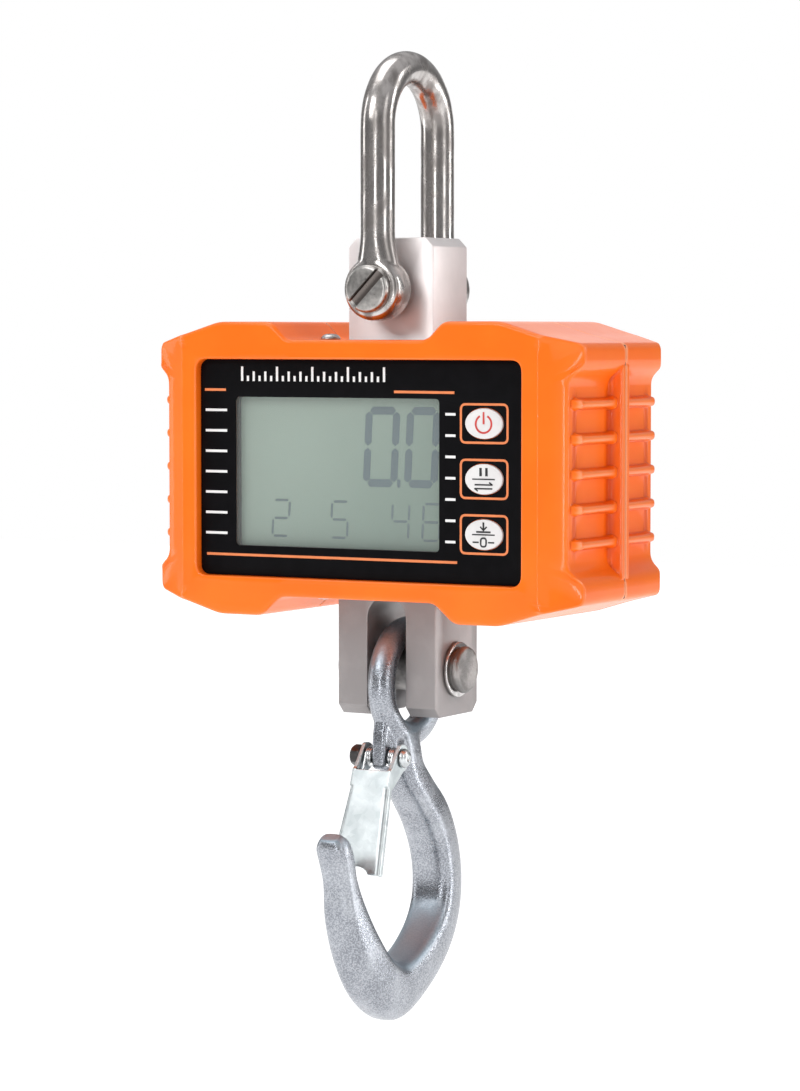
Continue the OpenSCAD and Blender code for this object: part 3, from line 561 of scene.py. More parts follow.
def sideReach(side, depth, flangeTop):
    # How far the recessed side stands out at a depth: ribs with a ball end and a splayed root, and the flange
    c = case
    fromRib = np.abs(side[:, 1][:, None] - np.arange(-2, 3) * c["ribPitch"]).min(1)
    past = depth - flangeTop
    (ballAt, ballSize, ball), (rootAt, rootSize, root) = c["ribBall"], c["ribRoot"]
    spread = 1 + ball * np.exp(-((depth - ballAt) / ballSize) ** 2) + root * np.exp(-((past - rootAt) / rootSize) ** 2)
    rib = (c["ribX"] - c["recessX"]) * np.interp(fromRib / spread, *c["ribSide"]) * np.interp(depth, *c["ribEnd"])
    flange = (c["halfWidth"] - c["recessX"]) * np.interp(past, *c["flangeRise"])
    return np.maximum(np.abs(side[:, 0]), c["recessX"] + np.maximum(rib, flange))


def caseHalf(name, facing, joinDepth, flangeTop, opening):
    # facing is -1 for the front shell and 1 for the rear one, and depth is measured towards it
    c = case
    ribHalf = np.array([0.7, 1.1, 1.35, 1.5, 1.6, 1.8, 2.1, 2.6])
    ribZ = (np.arange(-2, 3)[:, None] * c["ribPitch"] + np.concatenate([-ribHalf[::-1], [0], ribHalf])).ravel()
    outer = caseOutline(c["recessX"])
    ribAngles = np.arctan2(ribZ, c["recessX"])
    angles = np.concatenate([*map(angleOf, (outer, opening["lip"], opening["hole"])), ribAngles, np.pi - ribAngles])
    angles = np.unique(np.round((angles + np.pi) % (2 * np.pi) - np.pi, 5))
    rows = []

    def row(line, depth):
        rows.append(np.stack([line[:, 0], facing * np.broadcast_to(depth, len(angles)), line[:, 1]], -1))

    for key, depth in opening["rows"]:
        row(cast(opening[key], angles), depth)
    lip = cast(opening["lip"], angles)
    away, lipRound = unit(lip), opening["lipRound"]
    for a in np.linspace(0, math.pi / 2, 5):
        row(lip + away * lipRound * (1 - math.cos(a)), c["halfDepth"] - lipRound * (1 - math.sin(a)))
    start, stop = lip + away * lipRound, cast(caseOutline(c["recessX"], c["edge"]), angles)
    # shares of the way from the lip to the outer edge, drawn to the crease at slopeX where there is one
    reach = np.abs(stop[:, 0]) - np.abs(start[:, 0])
    for plain, offset in zip(np.linspace(0.15, 0.85, 7), (-3.5, -1.1, -0.5, 0, 0.5, 1.1, 3.5)):
        crease = (c["slopeX"] + offset - np.abs(start[:, 0])) / np.where(np.abs(reach) > 1, reach, 1)
        share = np.where(np.abs(stop[:, 0]) > c["slopeX"] + 4, np.clip(crease, 0.02, 0.98), plain)
        where = start + (stop - start) * share[:, None]
        row(where, faceDepth(where[:, 0]))
    base = faceDepth(stop[:, 0])
    for a in np.linspace(0, math.pi / 2, 6):
        where = cast(caseOutline(c["recessX"], c["edge"] * (1 - math.sin(a))), angles)
        row(where, base - c["edge"] * (1 - math.cos(a)))
    # down the outside: the depths start at the rounded edge, which is lower where the face falls back
    side = cast(outer, angles)
    inRecess = (np.abs(side[:, 0]) > 80) & (np.abs(side[:, 1]) < c["lipZ"])
    for depth in (*c["sideDepths"], *(flangeTop + step for step in c["flangeSteps"]), joinDepth + 0.3):
        share = np.clip((depth - c["fadeDepth"]) / (c["edgeDepth"] - c["fadeDepth"]), 0, 1)
        where = side.copy()
        where[:, 0] = np.where(inRecess, np.sign(side[:, 0]) * sideReach(side, depth, flangeTop), side[:, 0])
        row(where, depth + (base - c["edge"] - c["edgeDepth"]) * share)
    # across the parting line and back along the inside
    full = side.copy()
    full[:, 0] = np.where(inRecess, np.sign(side[:, 0]) * c["halfWidth"], side[:, 0])
    row(full * (1 - 0.3 / np.linalg.norm(full, axis=1)[:, None]), joinDepth)
    bay = cast(caseOutline(c["recessX"] - c["wall"], c["wall"]), angles)
    row(bay, joinDepth)
    row(bay, opening["insideDepth"])
    for key, depth in opening["backRows"]:
        row(cast(opening[key], angles), depth)
    return solid(name, grid(rows, aroundRows=True, aroundCols=True), 32)


panel = dict(x=(-69, 68.4), z=(-40.3, 40.8), radius=4.5)
window = dict(x=(-53.5, 33.4), z=(-28.9, 26.7), margin=1.2, radius=1.6, lining=1.05)
frontOpening = dict(
    lip=rectangle(panel["x"], panel["z"], panel["radius"]), hole=frameRound(window, window["margin"], window["radius"]),
    lipRound=0.9, insideDepth=32.4, rows=[("hole", 32.4), ("hole", 35.9), ("lip", 35.9)], backRows=[])
rearOpening = dict(
    lip=rectangle((-33.6, 33.6), (-30.6, 30.6), 4), hole=rectangle((-27.4, 27.4), (-25, 25), 2),
    frame=rectangle((-37, 37), (-33.5, 33.5), 4), lipRound=0.5, insideDepth=36.5,
    rows=[("hole", 32.4), ("hole", 36.1), ("lip", 36.1)], backRows=[("frame", 36.5), ("frame", 32.4)])
mounts = dict(topWindow=(20.6, 15.6, 42, 50), bottomWindow=(23.2, 18.8, -50, -42), screws=((70.6, 41.6), (47, 45.6)),
              bore=4, boreFloor=36, plateSeat=((-26, 39.6, -45.4), (26, 42, -34)))
corners = [(a, b) for a in (-1, 1) for b in (-1, 1)]


def block(low, high):
    (x0, y0, z0), (x1, y1, z1) = np.sort([low, high], 0)
    return tube([[(x0, y0, z), (x1, y0, z), (x1, y1, z), (x0, y1, z)] for z in (z0, z1)])


def bore(name, place, radius, length):
    # A plain cylinder that runs back from place
    return solid(name, turned([(0, 0), (0, radius), (length, radius), (length, 0)], place, (0, 1, 0), 32), 30)


def cellWindows():
    # The two openings that the load cell passes through
    return [solid("cellWindow", block((-x, -y, low), (x, y, high)), 30)
            for x, y, low, high in (mounts["topWindow"], mounts["bottomWindow"])]


def rearCuts():
    m = mounts
    bores = [bore("bore", (sx * x, m["boreFloor"], sz * z), m["bore"], 6) for sx, sz in corners for x, z in m["screws"]]
    return bores + [solid("plateSeat", block(*m["plateSeat"]), 30)]


frontShell = cut(caseHalf("frontShell", -1, -1.4, 1.0, frontOpening), cellWindows(), 32)
add(frontShell, "housing", "orangeCoat", "orange_coat", "front_shell")
rearShell = cut(caseHalf("rearShell", 1, 2.0, 4.4, rearOpening), cellWindows() + rearCuts(), 32)
add(rearShell, "housing", "orangeCoat", "orange_coat", "rear_shell")
print("case shells:", len(frontShell.data.polygons), len(rearShell.data.polygons))


def fused(name, parts, voxel, smoothing, crease=180):
    # Overlapping closed parts made one skin, with their edges rounded off
    made = solid(name, joined(*parts), 180)
    remesh = made.modifiers.new("union", "REMESH")
    remesh.mode, remesh.voxel_size, remesh.use_smooth_shade = "VOXEL", voxel * mm, True
    smooth = made.modifiers.new("soften", "SMOOTH")
    smooth.factor, smooth.iterations = 0.6, smoothing
    return settle(made, crease)


# ---- shackle

shackle = dict(bar=6.4, legY=22.8, pinZ=66.7, archZ=126.3, ear=11.8, earHalf=6.2, earSoft=2.6, rise=20,
               slot=(2.05, 2.7), voxel=0.5)


def shackleBow():
    s = shackle
    down = np.linspace(s["pinZ"] - 2, s["archZ"], 40)
    arch = np.linspace(0, math.pi, 41)[1:-1]
    path = np.concatenate([
        np.stack([0 * down, -s["legY"] + 0 * down, down], -1),
        np.stack([0 * arch, -s["legY"] * np.cos(arch), s["archZ"] + s["legY"] * np.sin(arch)], -1),
        np.stack([0 * down, s["legY"] + 0 * down, down[::-1]], -1)])
    ease = np.clip((s["pinZ"] + s["rise"] - path[:, 2]) / s["rise"], 0, 1)
    spread = np.stack([1 + 0.75 * ease ** 1.5, 1 - 0.04 * ease], -1)  # the leg widens into the ear
    bar = tube(carried(path, (1, 0, 0), circle(s["bar"], 40)[None] * spread[:, None]))
    r, h, soft = s["ear"], s["earHalf"], s["earSoft"]
    half = [(-h, 0), (-h, r - soft)]
    half += [(-h + soft * (1 - math.cos(a)) * 0.8, r - soft + soft * math.sin(a) * 0.92)
             for a in np.linspace(0, math.pi / 2, 7)]
    half += [(-h * 0.35, r)]
    profile = half + [(-y, q) for y, q in half[::-1]]
    ears = [turned(profile, (0, side * s["legY"], s["pinZ"]), (0, 1, 0), 64) for side in (-1, 1)]
    made = fused("shackleBow", [bar, *ears], s["voxel"], 9)
    add(made, "shackle", "polishedSteel", "polished_steel", "shackle_bow")


def shacklePin():
    s = shackle
    head, tail, thick = -s["legY"] - s["earHalf"] - 0.05, 2 * (s["legY"] + s["earHalf"]), 3.4
    profile = [(-thick, 0), (-thick, 7.4), (-3.2, 8.1), (-2.7, 8.6), (-2.2, 8.75), (-0.3, 8.75), (0, 8.5), (0, 6),
               (tail + 1.6, 6), (tail + 2.1, 5.4), (tail + 2.2, 5.0), (tail + 2.2, 0)]
    made = solid("shacklePin", turned(profile, (0, head, s["pinZ"]), (0, 1, 0), 56), 30)
    # the driver's slot, across the head at 45 degrees and round at its bottom
    half, deep = s["slot"]
    bottom = [(half * math.cos(a), head - thick + deep - 0.8 + 0.8 * math.sin(a)) for a in np.linspace(0, math.pi, 9)]
    line = [(half, head - 5), *bottom, (-half, head - 5)]
    lean, side = math.sqrt(0.5) * np.array([(1, 0, 1), (1, 0, -1)])
    rings = [[lean * d + side * u + np.array([0, y, s["pinZ"]]) for u, y in line] for d in (-12, 12)]
    cut(made, [solid("pinSlot", tube(rings), 30)], 30)
    add(made, "shackle", "headSteel", "polished_steel", "shackle_pin")


shackleBow()
shacklePin()
print("shackle made")

# ---- hook

hook = dict(
    # stations along the middle of the bar: Y, Z, half depth, half width, and how much narrower it is outside
    line=[[-5.6, -99, 7.6, 5.6, 0], [-5.8, -106, 7.3, 7.2, 0.05], [-3.2, -114.5, 7.5, 8.2, 0.15],
          [5.6, -123.6, 7.8, 9, 0.25], [14.8, -132.9, 8.6, 9.6, 0.3], [21.8, -144.6, 9.1, 9.8, 0.35],
          [24.8, -157.9, 9.4, 9.8, 0.35], [22.8, -170.9, 9.7, 9.8, 0.35], [15.1, -182, 10.1, 9.7, 0.35],
          [1.4, -191.4, 10.4, 9.5, 0.35], [-14.2, -196.2, 11.2, 9.3, 0.35], [-28.6, -189.7, 10.5, 9.4, 0.3],
          [-39.2, -177.4, 9.0, 9.0, 0.22], [-46.8, -163.2, 7.1, 7.6, 0.12], [-50.5, -150.4, 5, 6.0, 0],
          [-53.1, -141.6, 5.1, 6.2, 0], [-55.9, -136, 4.6, 6.0, 0], [-57.5, -132.6, 2.6, 3.8, 0]],
    square=0.62, eye=(-0.4, -80.9), eyeRadius=19.7, bar=5.2, pivot=(-18.6, -107.5), voxel=0.62)


def curve(stations, count):
    # Smooth curve through stations, with count steps between neighbours (Catmull-Rom)
    p = np.asarray(stations, float)
    p = np.concatenate([p[:1], p, p[-1:]])
    t = np.linspace(0, 1, count, endpoint=False)[:, None, None]
    a, b, c, d = p[:-3], p[1:-2], p[2:-1], p[3:]
    points = 0.5 * (2 * b + (c - a) * t + (2 * a - 5 * b + 4 * c - d) * t ** 2 + (3 * b - a - 3 * c + d) * t ** 3)
    return np.concatenate([points.transpose(1, 0, 2).reshape(-1, p.shape[1]), p[-2:-1]])


def hookForging():
    # The bar's section is a superellipse, tapered across; the eye is a ring and the latch's lug a slab
    h = hook
    line = curve(h["line"], 6)
    path = np.stack([0 * line[:, 0], line[:, 0], line[:, 1]], -1)
    a = (np.arange(40) + 0.5) * 2 * math.pi / 40
    power = lambda v: np.sign(v) * np.abs(v) ** h["square"]
    depth = power(np.sin(a))[None] * line[:, 2:3]
    width = power(np.cos(a))[None] * line[:, 3:4] * (1 - line[:, 4:5] * (1 + depth / line[:, 2:3]) / 2)
    ahead = unit(np.gradient(path, axis=0))
    out = np.stack([0 * path[:, 0], -ahead[:, 2], ahead[:, 1]], -1)
    body = path[:, None] + depth[..., None] * out[:, None]
    body[..., 0] += width
    turn = circle(1.0, 64)
    outwards = np.stack([0 * turn[:, 0], *turn.T], -1)
    section = circle(h["bar"], 24)
    eye = (np.array([0, *h["eye"]]) + h["eyeRadius"] * outwards)[:, None]
    eye = eye + section[None, :, :1] * np.array([1, 0, 0]) + section[None, :, 1:] * outwards[:, None]
    y, z = h["pivot"]
    lug = rounded([(-14, -88), (-21.2, -92), (-22.9, -100), (y - 4.6, z - 4.5), (y + 2, z - 4.8),
                   (-13.5, -113.5), (-5, -114), (-5, -96)], 2.2, 6)
    slab = [np.stack([np.full(len(lug), x), *((lug - lug.mean(0)) * share + lug.mean(0)).T], -1)
            for x, share in ((-2.9, 0.86), (-2.6, 0.94), (-1.9, 1.0), (1.9, 1.0), (2.6, 0.94), (2.9, 0.86))]
    made = fused("hookForging", [tube(body), grid(eye, True, True), tube(slab)], h["voxel"], 6)
    return add(made, "hook", "castZinc", "zinc_forging", "hook")


print("hook:", len(hookForging().data.polygons), "faces")

# ---- softened and flat pieces

def softened(node, name, body, finish, slot, width, crease=40):
    # A merged copy of a CAD node with its sharp edges bevelled
    mesh = nodes[node].data.copy()
    weld(mesh, 4e-6)
    edit(mesh, lambda work: bmesh.ops.dissolve_limit(
        work, angle_limit=math.radians(0.6), verts=work.verts, edges=work.edges))
    made = newObject(name, mesh)
    bevel = made.modifiers.new("edges", "BEVEL")
    bevel.limit_method, bevel.angle_limit = "ANGLE", math.radians(28)
    bevel.width, bevel.segments, bevel.use_clamp_overlap = width * mm, 3, False
    settle(made, crease)
    add(made, body, finish, slot, node)


def ribbon(path, width, low, high, closed=False):
    # A flat strip along a line in the X-Z plane, from depth low to depth high
    path = np.asarray(path, float)
    ahead = unit(np.roll(path, -1, 0) - np.roll(path, 1, 0) if closed else np.gradient(path, axis=0))
    aside = np.stack([-ahead[:, 1], ahead[:, 0]], -1) * width / 2
    points = np.stack([atDepth(path + aside, low), atDepth(path - aside, low),
                       atDepth(path - aside, high), atDepth(path + aside, high)], 1)
    return grid(points, True, True) if closed else tube(points)


def prism(outline, low, high):
    # A flat plate on an X-Z outline, which every ray from its middle crosses once
    return tube([atDepth(outline, depth) for depth in (low, high)])


def arc(centre, radius, start, stop, steps=24):
    a = np.radians(np.linspace(start, stop, steps))
    return np.stack([centre[0] + radius * np.cos(a), centre[1] + radius * np.sin(a)], -1)


# ---- load cell, hook pin and its rings

softened("load_cell", "loadCell", "housing", "satinNickel", "nickel_cell", 0.45)

pin = dict(z=-75.2, radius=8.75, cheek=20.8, reach=25.8, ring=10.3, ringThick=1.2, ringSoft=0.3, groove=7.8)


def hookPin():
    p = pin
    r, end = p["radius"], p["reach"]
    half = [(p["cheek"] + 0.1, r), (p["cheek"] + 0.15, p["groove"]), (p["cheek"] + 2.5, p["groove"]),
            (p["cheek"] + 2.6, r - 0.4), (p["cheek"] + 3.0, r), (end - 0.9, r), (end - 0.4, r - 0.25),
            (end - 0.1, r - 0.7), (end, r - 1.2)]
    half += [(end - 0.10 - 0.06 * math.cos(q * 2.1), q) for q in (6.4, 5.2, 4.0, 2.8, 1.6, 0.8, 0)]  # turned end face
    profile = [(-x, q) for x, q in half[::-1]] + half
    made = solid("hookPin", turned(profile, (0, 0, p["z"]), (1, 0, 0), 72), 34)
    add(made, "housing", "pinSteel", "polished_steel", "hook_pin")
    rings = []
    for side in (-1, 1):
        thick, soft, rim, hole = side * p["ringThick"], p["ringSoft"], p["ring"], p["groove"] + 0.05
        profile = [(0, hole), (0, rim - soft), (thick * 0.08, rim - soft * 0.3), (thick * 0.25, rim),
                   (thick * 0.75, rim), (thick * 0.92, rim - soft * 0.3), (thick, rim - soft), (thick, hole), (0, hole)]
        rings.append(turned(profile, (side * (p["cheek"] + 0.3), 0, p["z"]), (1, 0, 0), 64))
    add(solid("pinRings", joined(*rings), 40), "housing", "ringSteel", "polished_steel", "pin_rings")


hookPin()
print("load cell and hook pin made")

# ---- latch, with its bolt, nut and springs

latch = dict(top=(-27.3, -110.6), end=(-41.4, -148.6), pivot=(-18.6, -107.5), halfTop=8.2, halfEnd=10.7, bend=6.0,
             flange=3.7, sheet=1.5, bendRadius=0.95, arch=5.6, archRise=2.8, ear=5.25, voxel=0.24,
             nutHalf=3.62, coil=3.4, coilX=(3.45, 5.7), coilTurns=2.75, leg=15.5, wire=0.5)
latchTop, latchEnd = np.array(latch["top"]), np.array(latch["end"])
latchLength = np.linalg.norm(latchEnd - latchTop)
latchAlong = (latchEnd - latchTop) / latchLength
latchIn = np.array([-latchAlong[1], latchAlong[0]])


def onLatch(points):
    # From the latch's own axes (across, inwards, down the face) to the body's
    points = np.asarray(points, float)
    where = latchTop + points[..., 1:2] * latchIn + points[..., 2:3] * latchAlong
    return np.concatenate([points[..., :1], where], -1)


def latchPressing():
    # A U section whose half width grows down the face; the lower edge is arched over the hook's tip
    t = latch
    r, thick = t["bendRadius"], t["sheet"] / 2
    turn = np.linspace(0, math.pi / 2, 6)[1:]
    right = [(1, -thick, d) for d in np.linspace(t["flange"] - thick * 0.4, r + thick, 4)]
    right += [(1, -thick - r + r * math.cos(a), thick + r - r * math.sin(a)) for a in turn]
    face = [(share, 0, thick) for share in np.linspace(0.75, -0.75, 17)]
    line = np.array(right + face + [(-k, -dx, d) for k, dx, d in right[::-1]])  # share of the width, offset, depth
    down = np.linspace(0, 1, 44)[:, None]
    below = np.clip((down * latchLength - t["bend"]) / (latchLength - t["bend"]), 0, 1)
    x = line[:, 0] * (t["halfTop"] + (t["halfEnd"] - t["halfTop"]) * below) + line[:, 1]
    arch = t["archRise"] * np.sqrt(np.clip(1 - (x / t["arch"]) ** 2, 0, 1))
    u = thick + down * (latchLength - thick * 1.6 - arch)
    rise = np.clip((u - t["bend"] + 3) / 2, 0.12, 1)  # the flanges start below the bend
    depth = thick + (line[:, 2] - thick) * rise
    middle = np.stack([x, depth, u], -1)
    way = unit(np.gradient(middle, axis=1)[..., :2])
    aside = np.stack([-way[..., 1], way[..., 0], 0 * x], -1) * thick
    loop = np.concatenate([middle + aside, (middle - aside)[:, ::-1]], 1)
    shut = np.concatenate([middle, middle[:, ::-1]], 1)
    channel = grid(onLatch(np.concatenate([shut[:1], loop, shut[-1:]])), aroundCols=True)
    # the ears: round about the bolt, with a root that runs down to the face
    away = np.array(t["pivot"]) - latchTop
    outline = np.concatenate([arc((away @ latchIn, away @ latchAlong), t["ear"], -128, 62, 26),
                              [[3.9, 7.2], [0.0, 7.2], [0.0, 0.6], [0.6, -0.2]]])
    outer, inner = t["halfTop"], t["halfTop"] - t["sheet"]
    ears = [tube([onLatch(np.insert(outline, 0, x, axis=1)) for x in pair])
            for pair in ((-outer, -inner), (inner, outer))]
    made = fused("latchPressing", [channel, *ears], t["voxel"], 4, 60)
    return add(made, "latch", "sheetZinc", "zinc_plate", "latch")


def latchFixings():
    t = latch
    centre = (0, *t["pivot"])
    w = t["halfTop"]
    shank = [(-w - 4.2, 0), (-w - 4.2, 1.9), (-w - 3.7, 2.45), (w + 0.2, 2.45), (w + 0.25, 3.3), (w + 0.5, 3.6),
             (w + 0.9, 3.65), (w + 1.5, 3.4), (w + 2.0, 2.85), (w + 2.4, 2.1), (w + 2.55, 1.4), (w + 2.5, 1.05),
             (w + 2.25, 0.8), (w + 2.2, 0)]
    add(solid("latchBolt", turned(shank, centre, (1, 0, 0), 40), 40), "hook", "boltZinc", "zinc_plate", "latch_bolt")
    # A hexagon turned down at both ends: each ring's radius is the lesser of the hexagon's and the chamfer's
    a, third = np.arange(60) * 2 * math.pi / 60, math.pi / 3
    hexagon = t["nutHalf"] / np.cos((a + third / 2) % third - third / 2)
    rows = [(4.4, 2.52), (4.4, 3.55), (4.1, 3.8), (3.6, 4.2), (1.1, 4.2), (0.6, 3.8), (0.3, 3.55), (0.3, 2.52)]
    points = [[(-w - x, t["pivot"][0] + r * math.cos(b), t["pivot"][1] + r * math.sin(b))
               for b, r in zip(a, np.minimum(hexagon, limit))] for x, limit in rows]
    add(solid("latchNut", grid(points, True, True), 30), "hook", "blackOxide", "black_oxide", "latch_nut")


def latchSprings():
    # Each is one wire: a short tail, turns about the bolt, then a leg that lies along the face
    t = latch
    pivot = np.array(t["pivot"])
    last = math.atan2(-latchIn[1], -latchIn[0])
    springs = []
    for side in (-1, 1):
        a = np.linspace(last - 2 * math.pi * t["coilTurns"], last, 90)
        x = np.linspace(*t["coilX"], 90)
        turns = np.stack([x, pivot[0] + t["coil"] * np.cos(a), pivot[1] + t["coil"] * np.sin(a)], -1)
        tailWay = -np.array([-math.sin(a[0]), math.cos(a[0])])
        tail = np.array([[x[0], *(turns[0, 1:] + tailWay * d)] for d in (2.2, 1.1)])
        down = np.linspace(0.8, t["leg"], 14)
        lean = -0.9 * (down / t["leg"]) ** 2
        leg = turns[-1, 1:] + down[:, None] * latchAlong + lean[:, None] * latchIn
        path = np.concatenate([tail, turns, np.insert(leg, 0, x[-1], axis=1)])
        path[:, 0] *= side
        over = unit(np.cross(unit(np.gradient(path, axis=0)), (1, 0, 0)))
        springs.append(tube(carried(path, over, circle(t["wire"], 10))))
    add(solid("latchSprings", joined(*springs), 60), "latch", "springSteel", "zinc_plate", "latch_spring")


print("latch:", len(latchPressing().data.polygons), "faces")
latchFixings()
latchSprings()

# ---- panel print, keys and display

ink = dict(back=-36.48, front=-36.56)
marks = dict(
    dashes=[((-67, 29.3), (-57.7, 29.3)), ((14.7, 29.1), (39.7, 29.0)), ((-66.3, -32.4), (40.9, -32.4))],
    leftTicks=(-66.7, -57.2, 21.7, -24.4), rightTicks=(36.0, 40.2, 21.2, -25.0), tickCount=7, width=0.95,
    ruler=(-50.5, 10.5), rulerZ=32.6, rulerTicks=25, frame=(9.5, 6.9), frameRound=2.0, frameWidth=0.85)
keys = dict(x=51.9, z=dict(power_key=18, hold_key=-2, tare_key=-22), half=(7.7, 5.5), icon=(-36.8, -37.03))


def panelPrint():
    g = marks
    printed = lambda line, width, closed=False: ribbon(line, width, ink["back"], ink["front"], closed)
    lines = [printed(np.linspace(a, b, 2), g["width"]) for a, b in g["dashes"]]
    wide, high = g["frame"]
    for z in keys["z"].values():
        outline = rectangle((keys["x"] - wide, keys["x"] + wide), (z - high, z + high), g["frameRound"])
        lines.append(printed(outline, g["frameWidth"], True))
    add(solid("panelLines", joined(*lines), 30), "housing", "inkOrange", "black_panel")
    ticks = [printed([(low, z), (high, z)], g["width"]) for low, high, top, bottom in (g["leftTicks"], g["rightTicks"])
             for z in np.linspace(top, bottom, g["tickCount"])]
    # a plain graduated scale over the display
    for k, x in enumerate(np.linspace(*g["ruler"], g["rulerTicks"])):
        tall = 5.4 if k % 6 == 0 else 3.6 if k % 2 == 0 else 2.0
        ticks.append(printed([(x, g["rulerZ"]), (x, g["rulerZ"] + tall)], g["width"]))
    add(solid("panelTicks", joined(*ticks), 30), "housing", "inkWhite", "black_panel")


def keyCap(name, z):
    # An oval button: each row is [depth, share of the oval's half width and height]
    rows = [(-36.86, 0.0), (-36.95, 0.45), (-37.0, 0.8), (-36.98, 0.90), (-36.90, 0.955), (-36.72, 0.99), (-36.5, 1.0),
            (-34.6, 1.0), (-34.6, 1.15), (-33.5, 1.15), (-33.5, 0.3), (-32.2, 0.3), (-32.2, 0)]
    oval = circle(1.0, 72) * keys["half"]
    points = [atDepth(oval * share + (keys["x"], z), depth) for depth, share in rows]
    add(solid(name, grid(points, aroundCols=True), 30), name, "keyWhite", "white_key", name)


def keyIcons():
    # Each line is [width, points] about the middle of its key
    upright = lambda x: [(x, 1.1), (x, 4.1)]
    level = lambda reach, z: [(-reach, z), (reach, z)]
    nought = rectangle((-1.1, 1.1), (-4.3, -1.2), 1.05)
    icons = dict(
        power_key=("powerIcon", "inkRed", [(0.72, arc((0, -0.15), 3.2, 118, 422, 40)), (0.72, [(0, -0.2), (0, 4.2)])]),
        # two bars over a line over a pair of arrows
        hold_key=("holdIcon", "inkBlack", [
            (1.0, upright(-1.2)), (1.0, upright(1.2)), (0.45, level(4.6, 0)), (0.55, level(3.6, -2.0)),
            (0.55, level(3.6, -3.4)), (0.55, [(2.3, -1.1), (3.7, -2.1)]), (0.55, [(-2.3, -4.3), (-3.7, -3.3)])]),
        # an arrow down to a pan over a line over a nought between arrows
        tare_key=("tareIcon", "inkBlack", [
            (0.72, [(0, 1.7), (0, 4.5)]), (0.6, [(-1.3, 2.9), (0, 1.6), (1.3, 2.9)]), (0.6, level(2.9, 1.0)),
            (0.45, level(4.6, 0)), (0.62, nought), (0.55, [(-4.4, -2.75), (-1.9, -2.75)]),
            (0.55, [(4.4, -2.75), (1.9, -2.75)])]))
    for key, (name, finish, lines) in icons.items():
        middle = np.array([keys["x"], keys["z"][key]])
        strips = [ribbon(np.array(line) + middle, width, *keys["icon"], line is nought) for width, line in lines]
        add(solid(name, joined(*strips), 30), key, finish, "white_key")


panelPrint()
for keyName, keyZ in keys["z"].items():
    keyCap(keyName, keyZ)
keyIcons()

display = dict(face=-32.3, ink=-32.37, slant=0.05, segment=3.0, gap=0.35, smallSegment=1.0, smallGap=0.5,
               digits=[((-1.0, -6.0), (13.6, 23.6)), ((16.4, -6.0), (30.4, 23.6))], point=(14.3, -5.2),
               small=[(-40.5, "abged"), (-15.2, "afgcd"), (10.6, "fgbc"), (23.6, "afgecd")],
               smallSize=(8.0, 14.4), smallZ=-25.6, liningFront=-34.25, liningBack=-32.42)


def inked(line):
    return prism(line, display["face"] + 0.02, display["ink"])


def digit(low, high, lit, width, gap):
    # Seven bars with pointed ends, lettered as usual from the top round and then the middle
    (x0, z0), (x1, z1) = low, high
    h = width / 2
    zm = (z0 + z1) / 2
    across = lambda z: [(x0 + h + gap, z), (x1 - h - gap, z)]
    upright = lambda x, a, b: [(x, a + h + gap), (x, b - h - gap)]
    bars = dict(a=across(z1 - h), g=across(zm), d=across(z0 + h), f=upright(x0 + h, zm - h, z1),
                b=upright(x1 - h, zm - h, z1), e=upright(x0 + h, z0, zm + h), c=upright(x1 - h, z0, zm + h))
    made = []
    for key in lit:
        a, b = np.array(bars[key])
        run = unit(b - a) * h
        side, point = np.array([-run[1], run[0]]), run * 0.8
        line = np.array([a, a + point + side, b - point + side, b, b - point - side, a + point - side])
        line[:, 0] += (line[:, 1] - z0) * display["slant"]
        made.append(inked(line))
    return made


def displayParts():
    d = display
    bars = [bar for low, high in d["digits"] for bar in digit(low, high, "abcdef", d["segment"], d["gap"])]
    px, pz = d["point"]
    bars.append(inked(rectangle((px - 0.7, px + 0.7), (pz - 0.8, pz + 2.2), 0.3, 3)))
    add(solid("displayDigits", joined(*bars), 30), "housing", "segment", "lcd_glass")
    (wide, tall), low = d["smallSize"], d["smallZ"]
    small = [bar for x, lit in d["small"]
             for bar in digit((x, low), (x + wide, low + tall), lit, d["smallSegment"], d["smallGap"])]
    add(solid("displaySmall", joined(*small), 30), "housing", "segmentFaint", "lcd_glass")
    # the dark lining between the window and the display
    inside, outside = (frameRound(window, margin, window["radius"]) for margin in (0, window["lining"]))
    front, back = d["liningFront"], d["liningBack"]
    loops = [atDepth(inside, front), atDepth(inside, back), atDepth(outside, back), atDepth(outside, front)]
    add(solid("displaySurround", grid(loops, True, True), 30), "housing", "surroundGrey", "black_plastic")


displayParts()
softened("front_panel", "frontPanel", "housing", "blackPanel", "black_panel", 0.12)

# ---- plates on the rear face, and the screws in the notches

coverPlate = dict(x=(-33.2, 33.2), z=(-30.2, 30.2), corner=4, low=36.9, high=40, edge=0.7, screws=(30, 27.2),
                  seat=(2.4, 1.8), grip=(14, 0.9, 4.0, 0.8))
ratingPlate = dict(x=(-25.4, 25.4), z=(-45.3, -34.1), corner=1.0, low=39.62, high=39.98, edge=0.15)


def rearPlate(name, plate):
    # A plate on the rear face with its outer edge rounded over
    line = rectangle(plate["x"], plate["z"], plate["corner"])
    middle = line.mean(0)
    half = np.abs(line - middle).max(0)
    high, edge = plate["high"], plate["edge"]
    rounding = ((0, plate["low"]), (0, high - edge), (0.08, high - edge * 0.55), (0.35, high - edge * 0.2), (1, high))
    rings = [atDepth(middle + (line - middle) * (1 - inset * edge / half), depth) for inset, depth in rounding]
    return solid(name, tube(rings), 40)


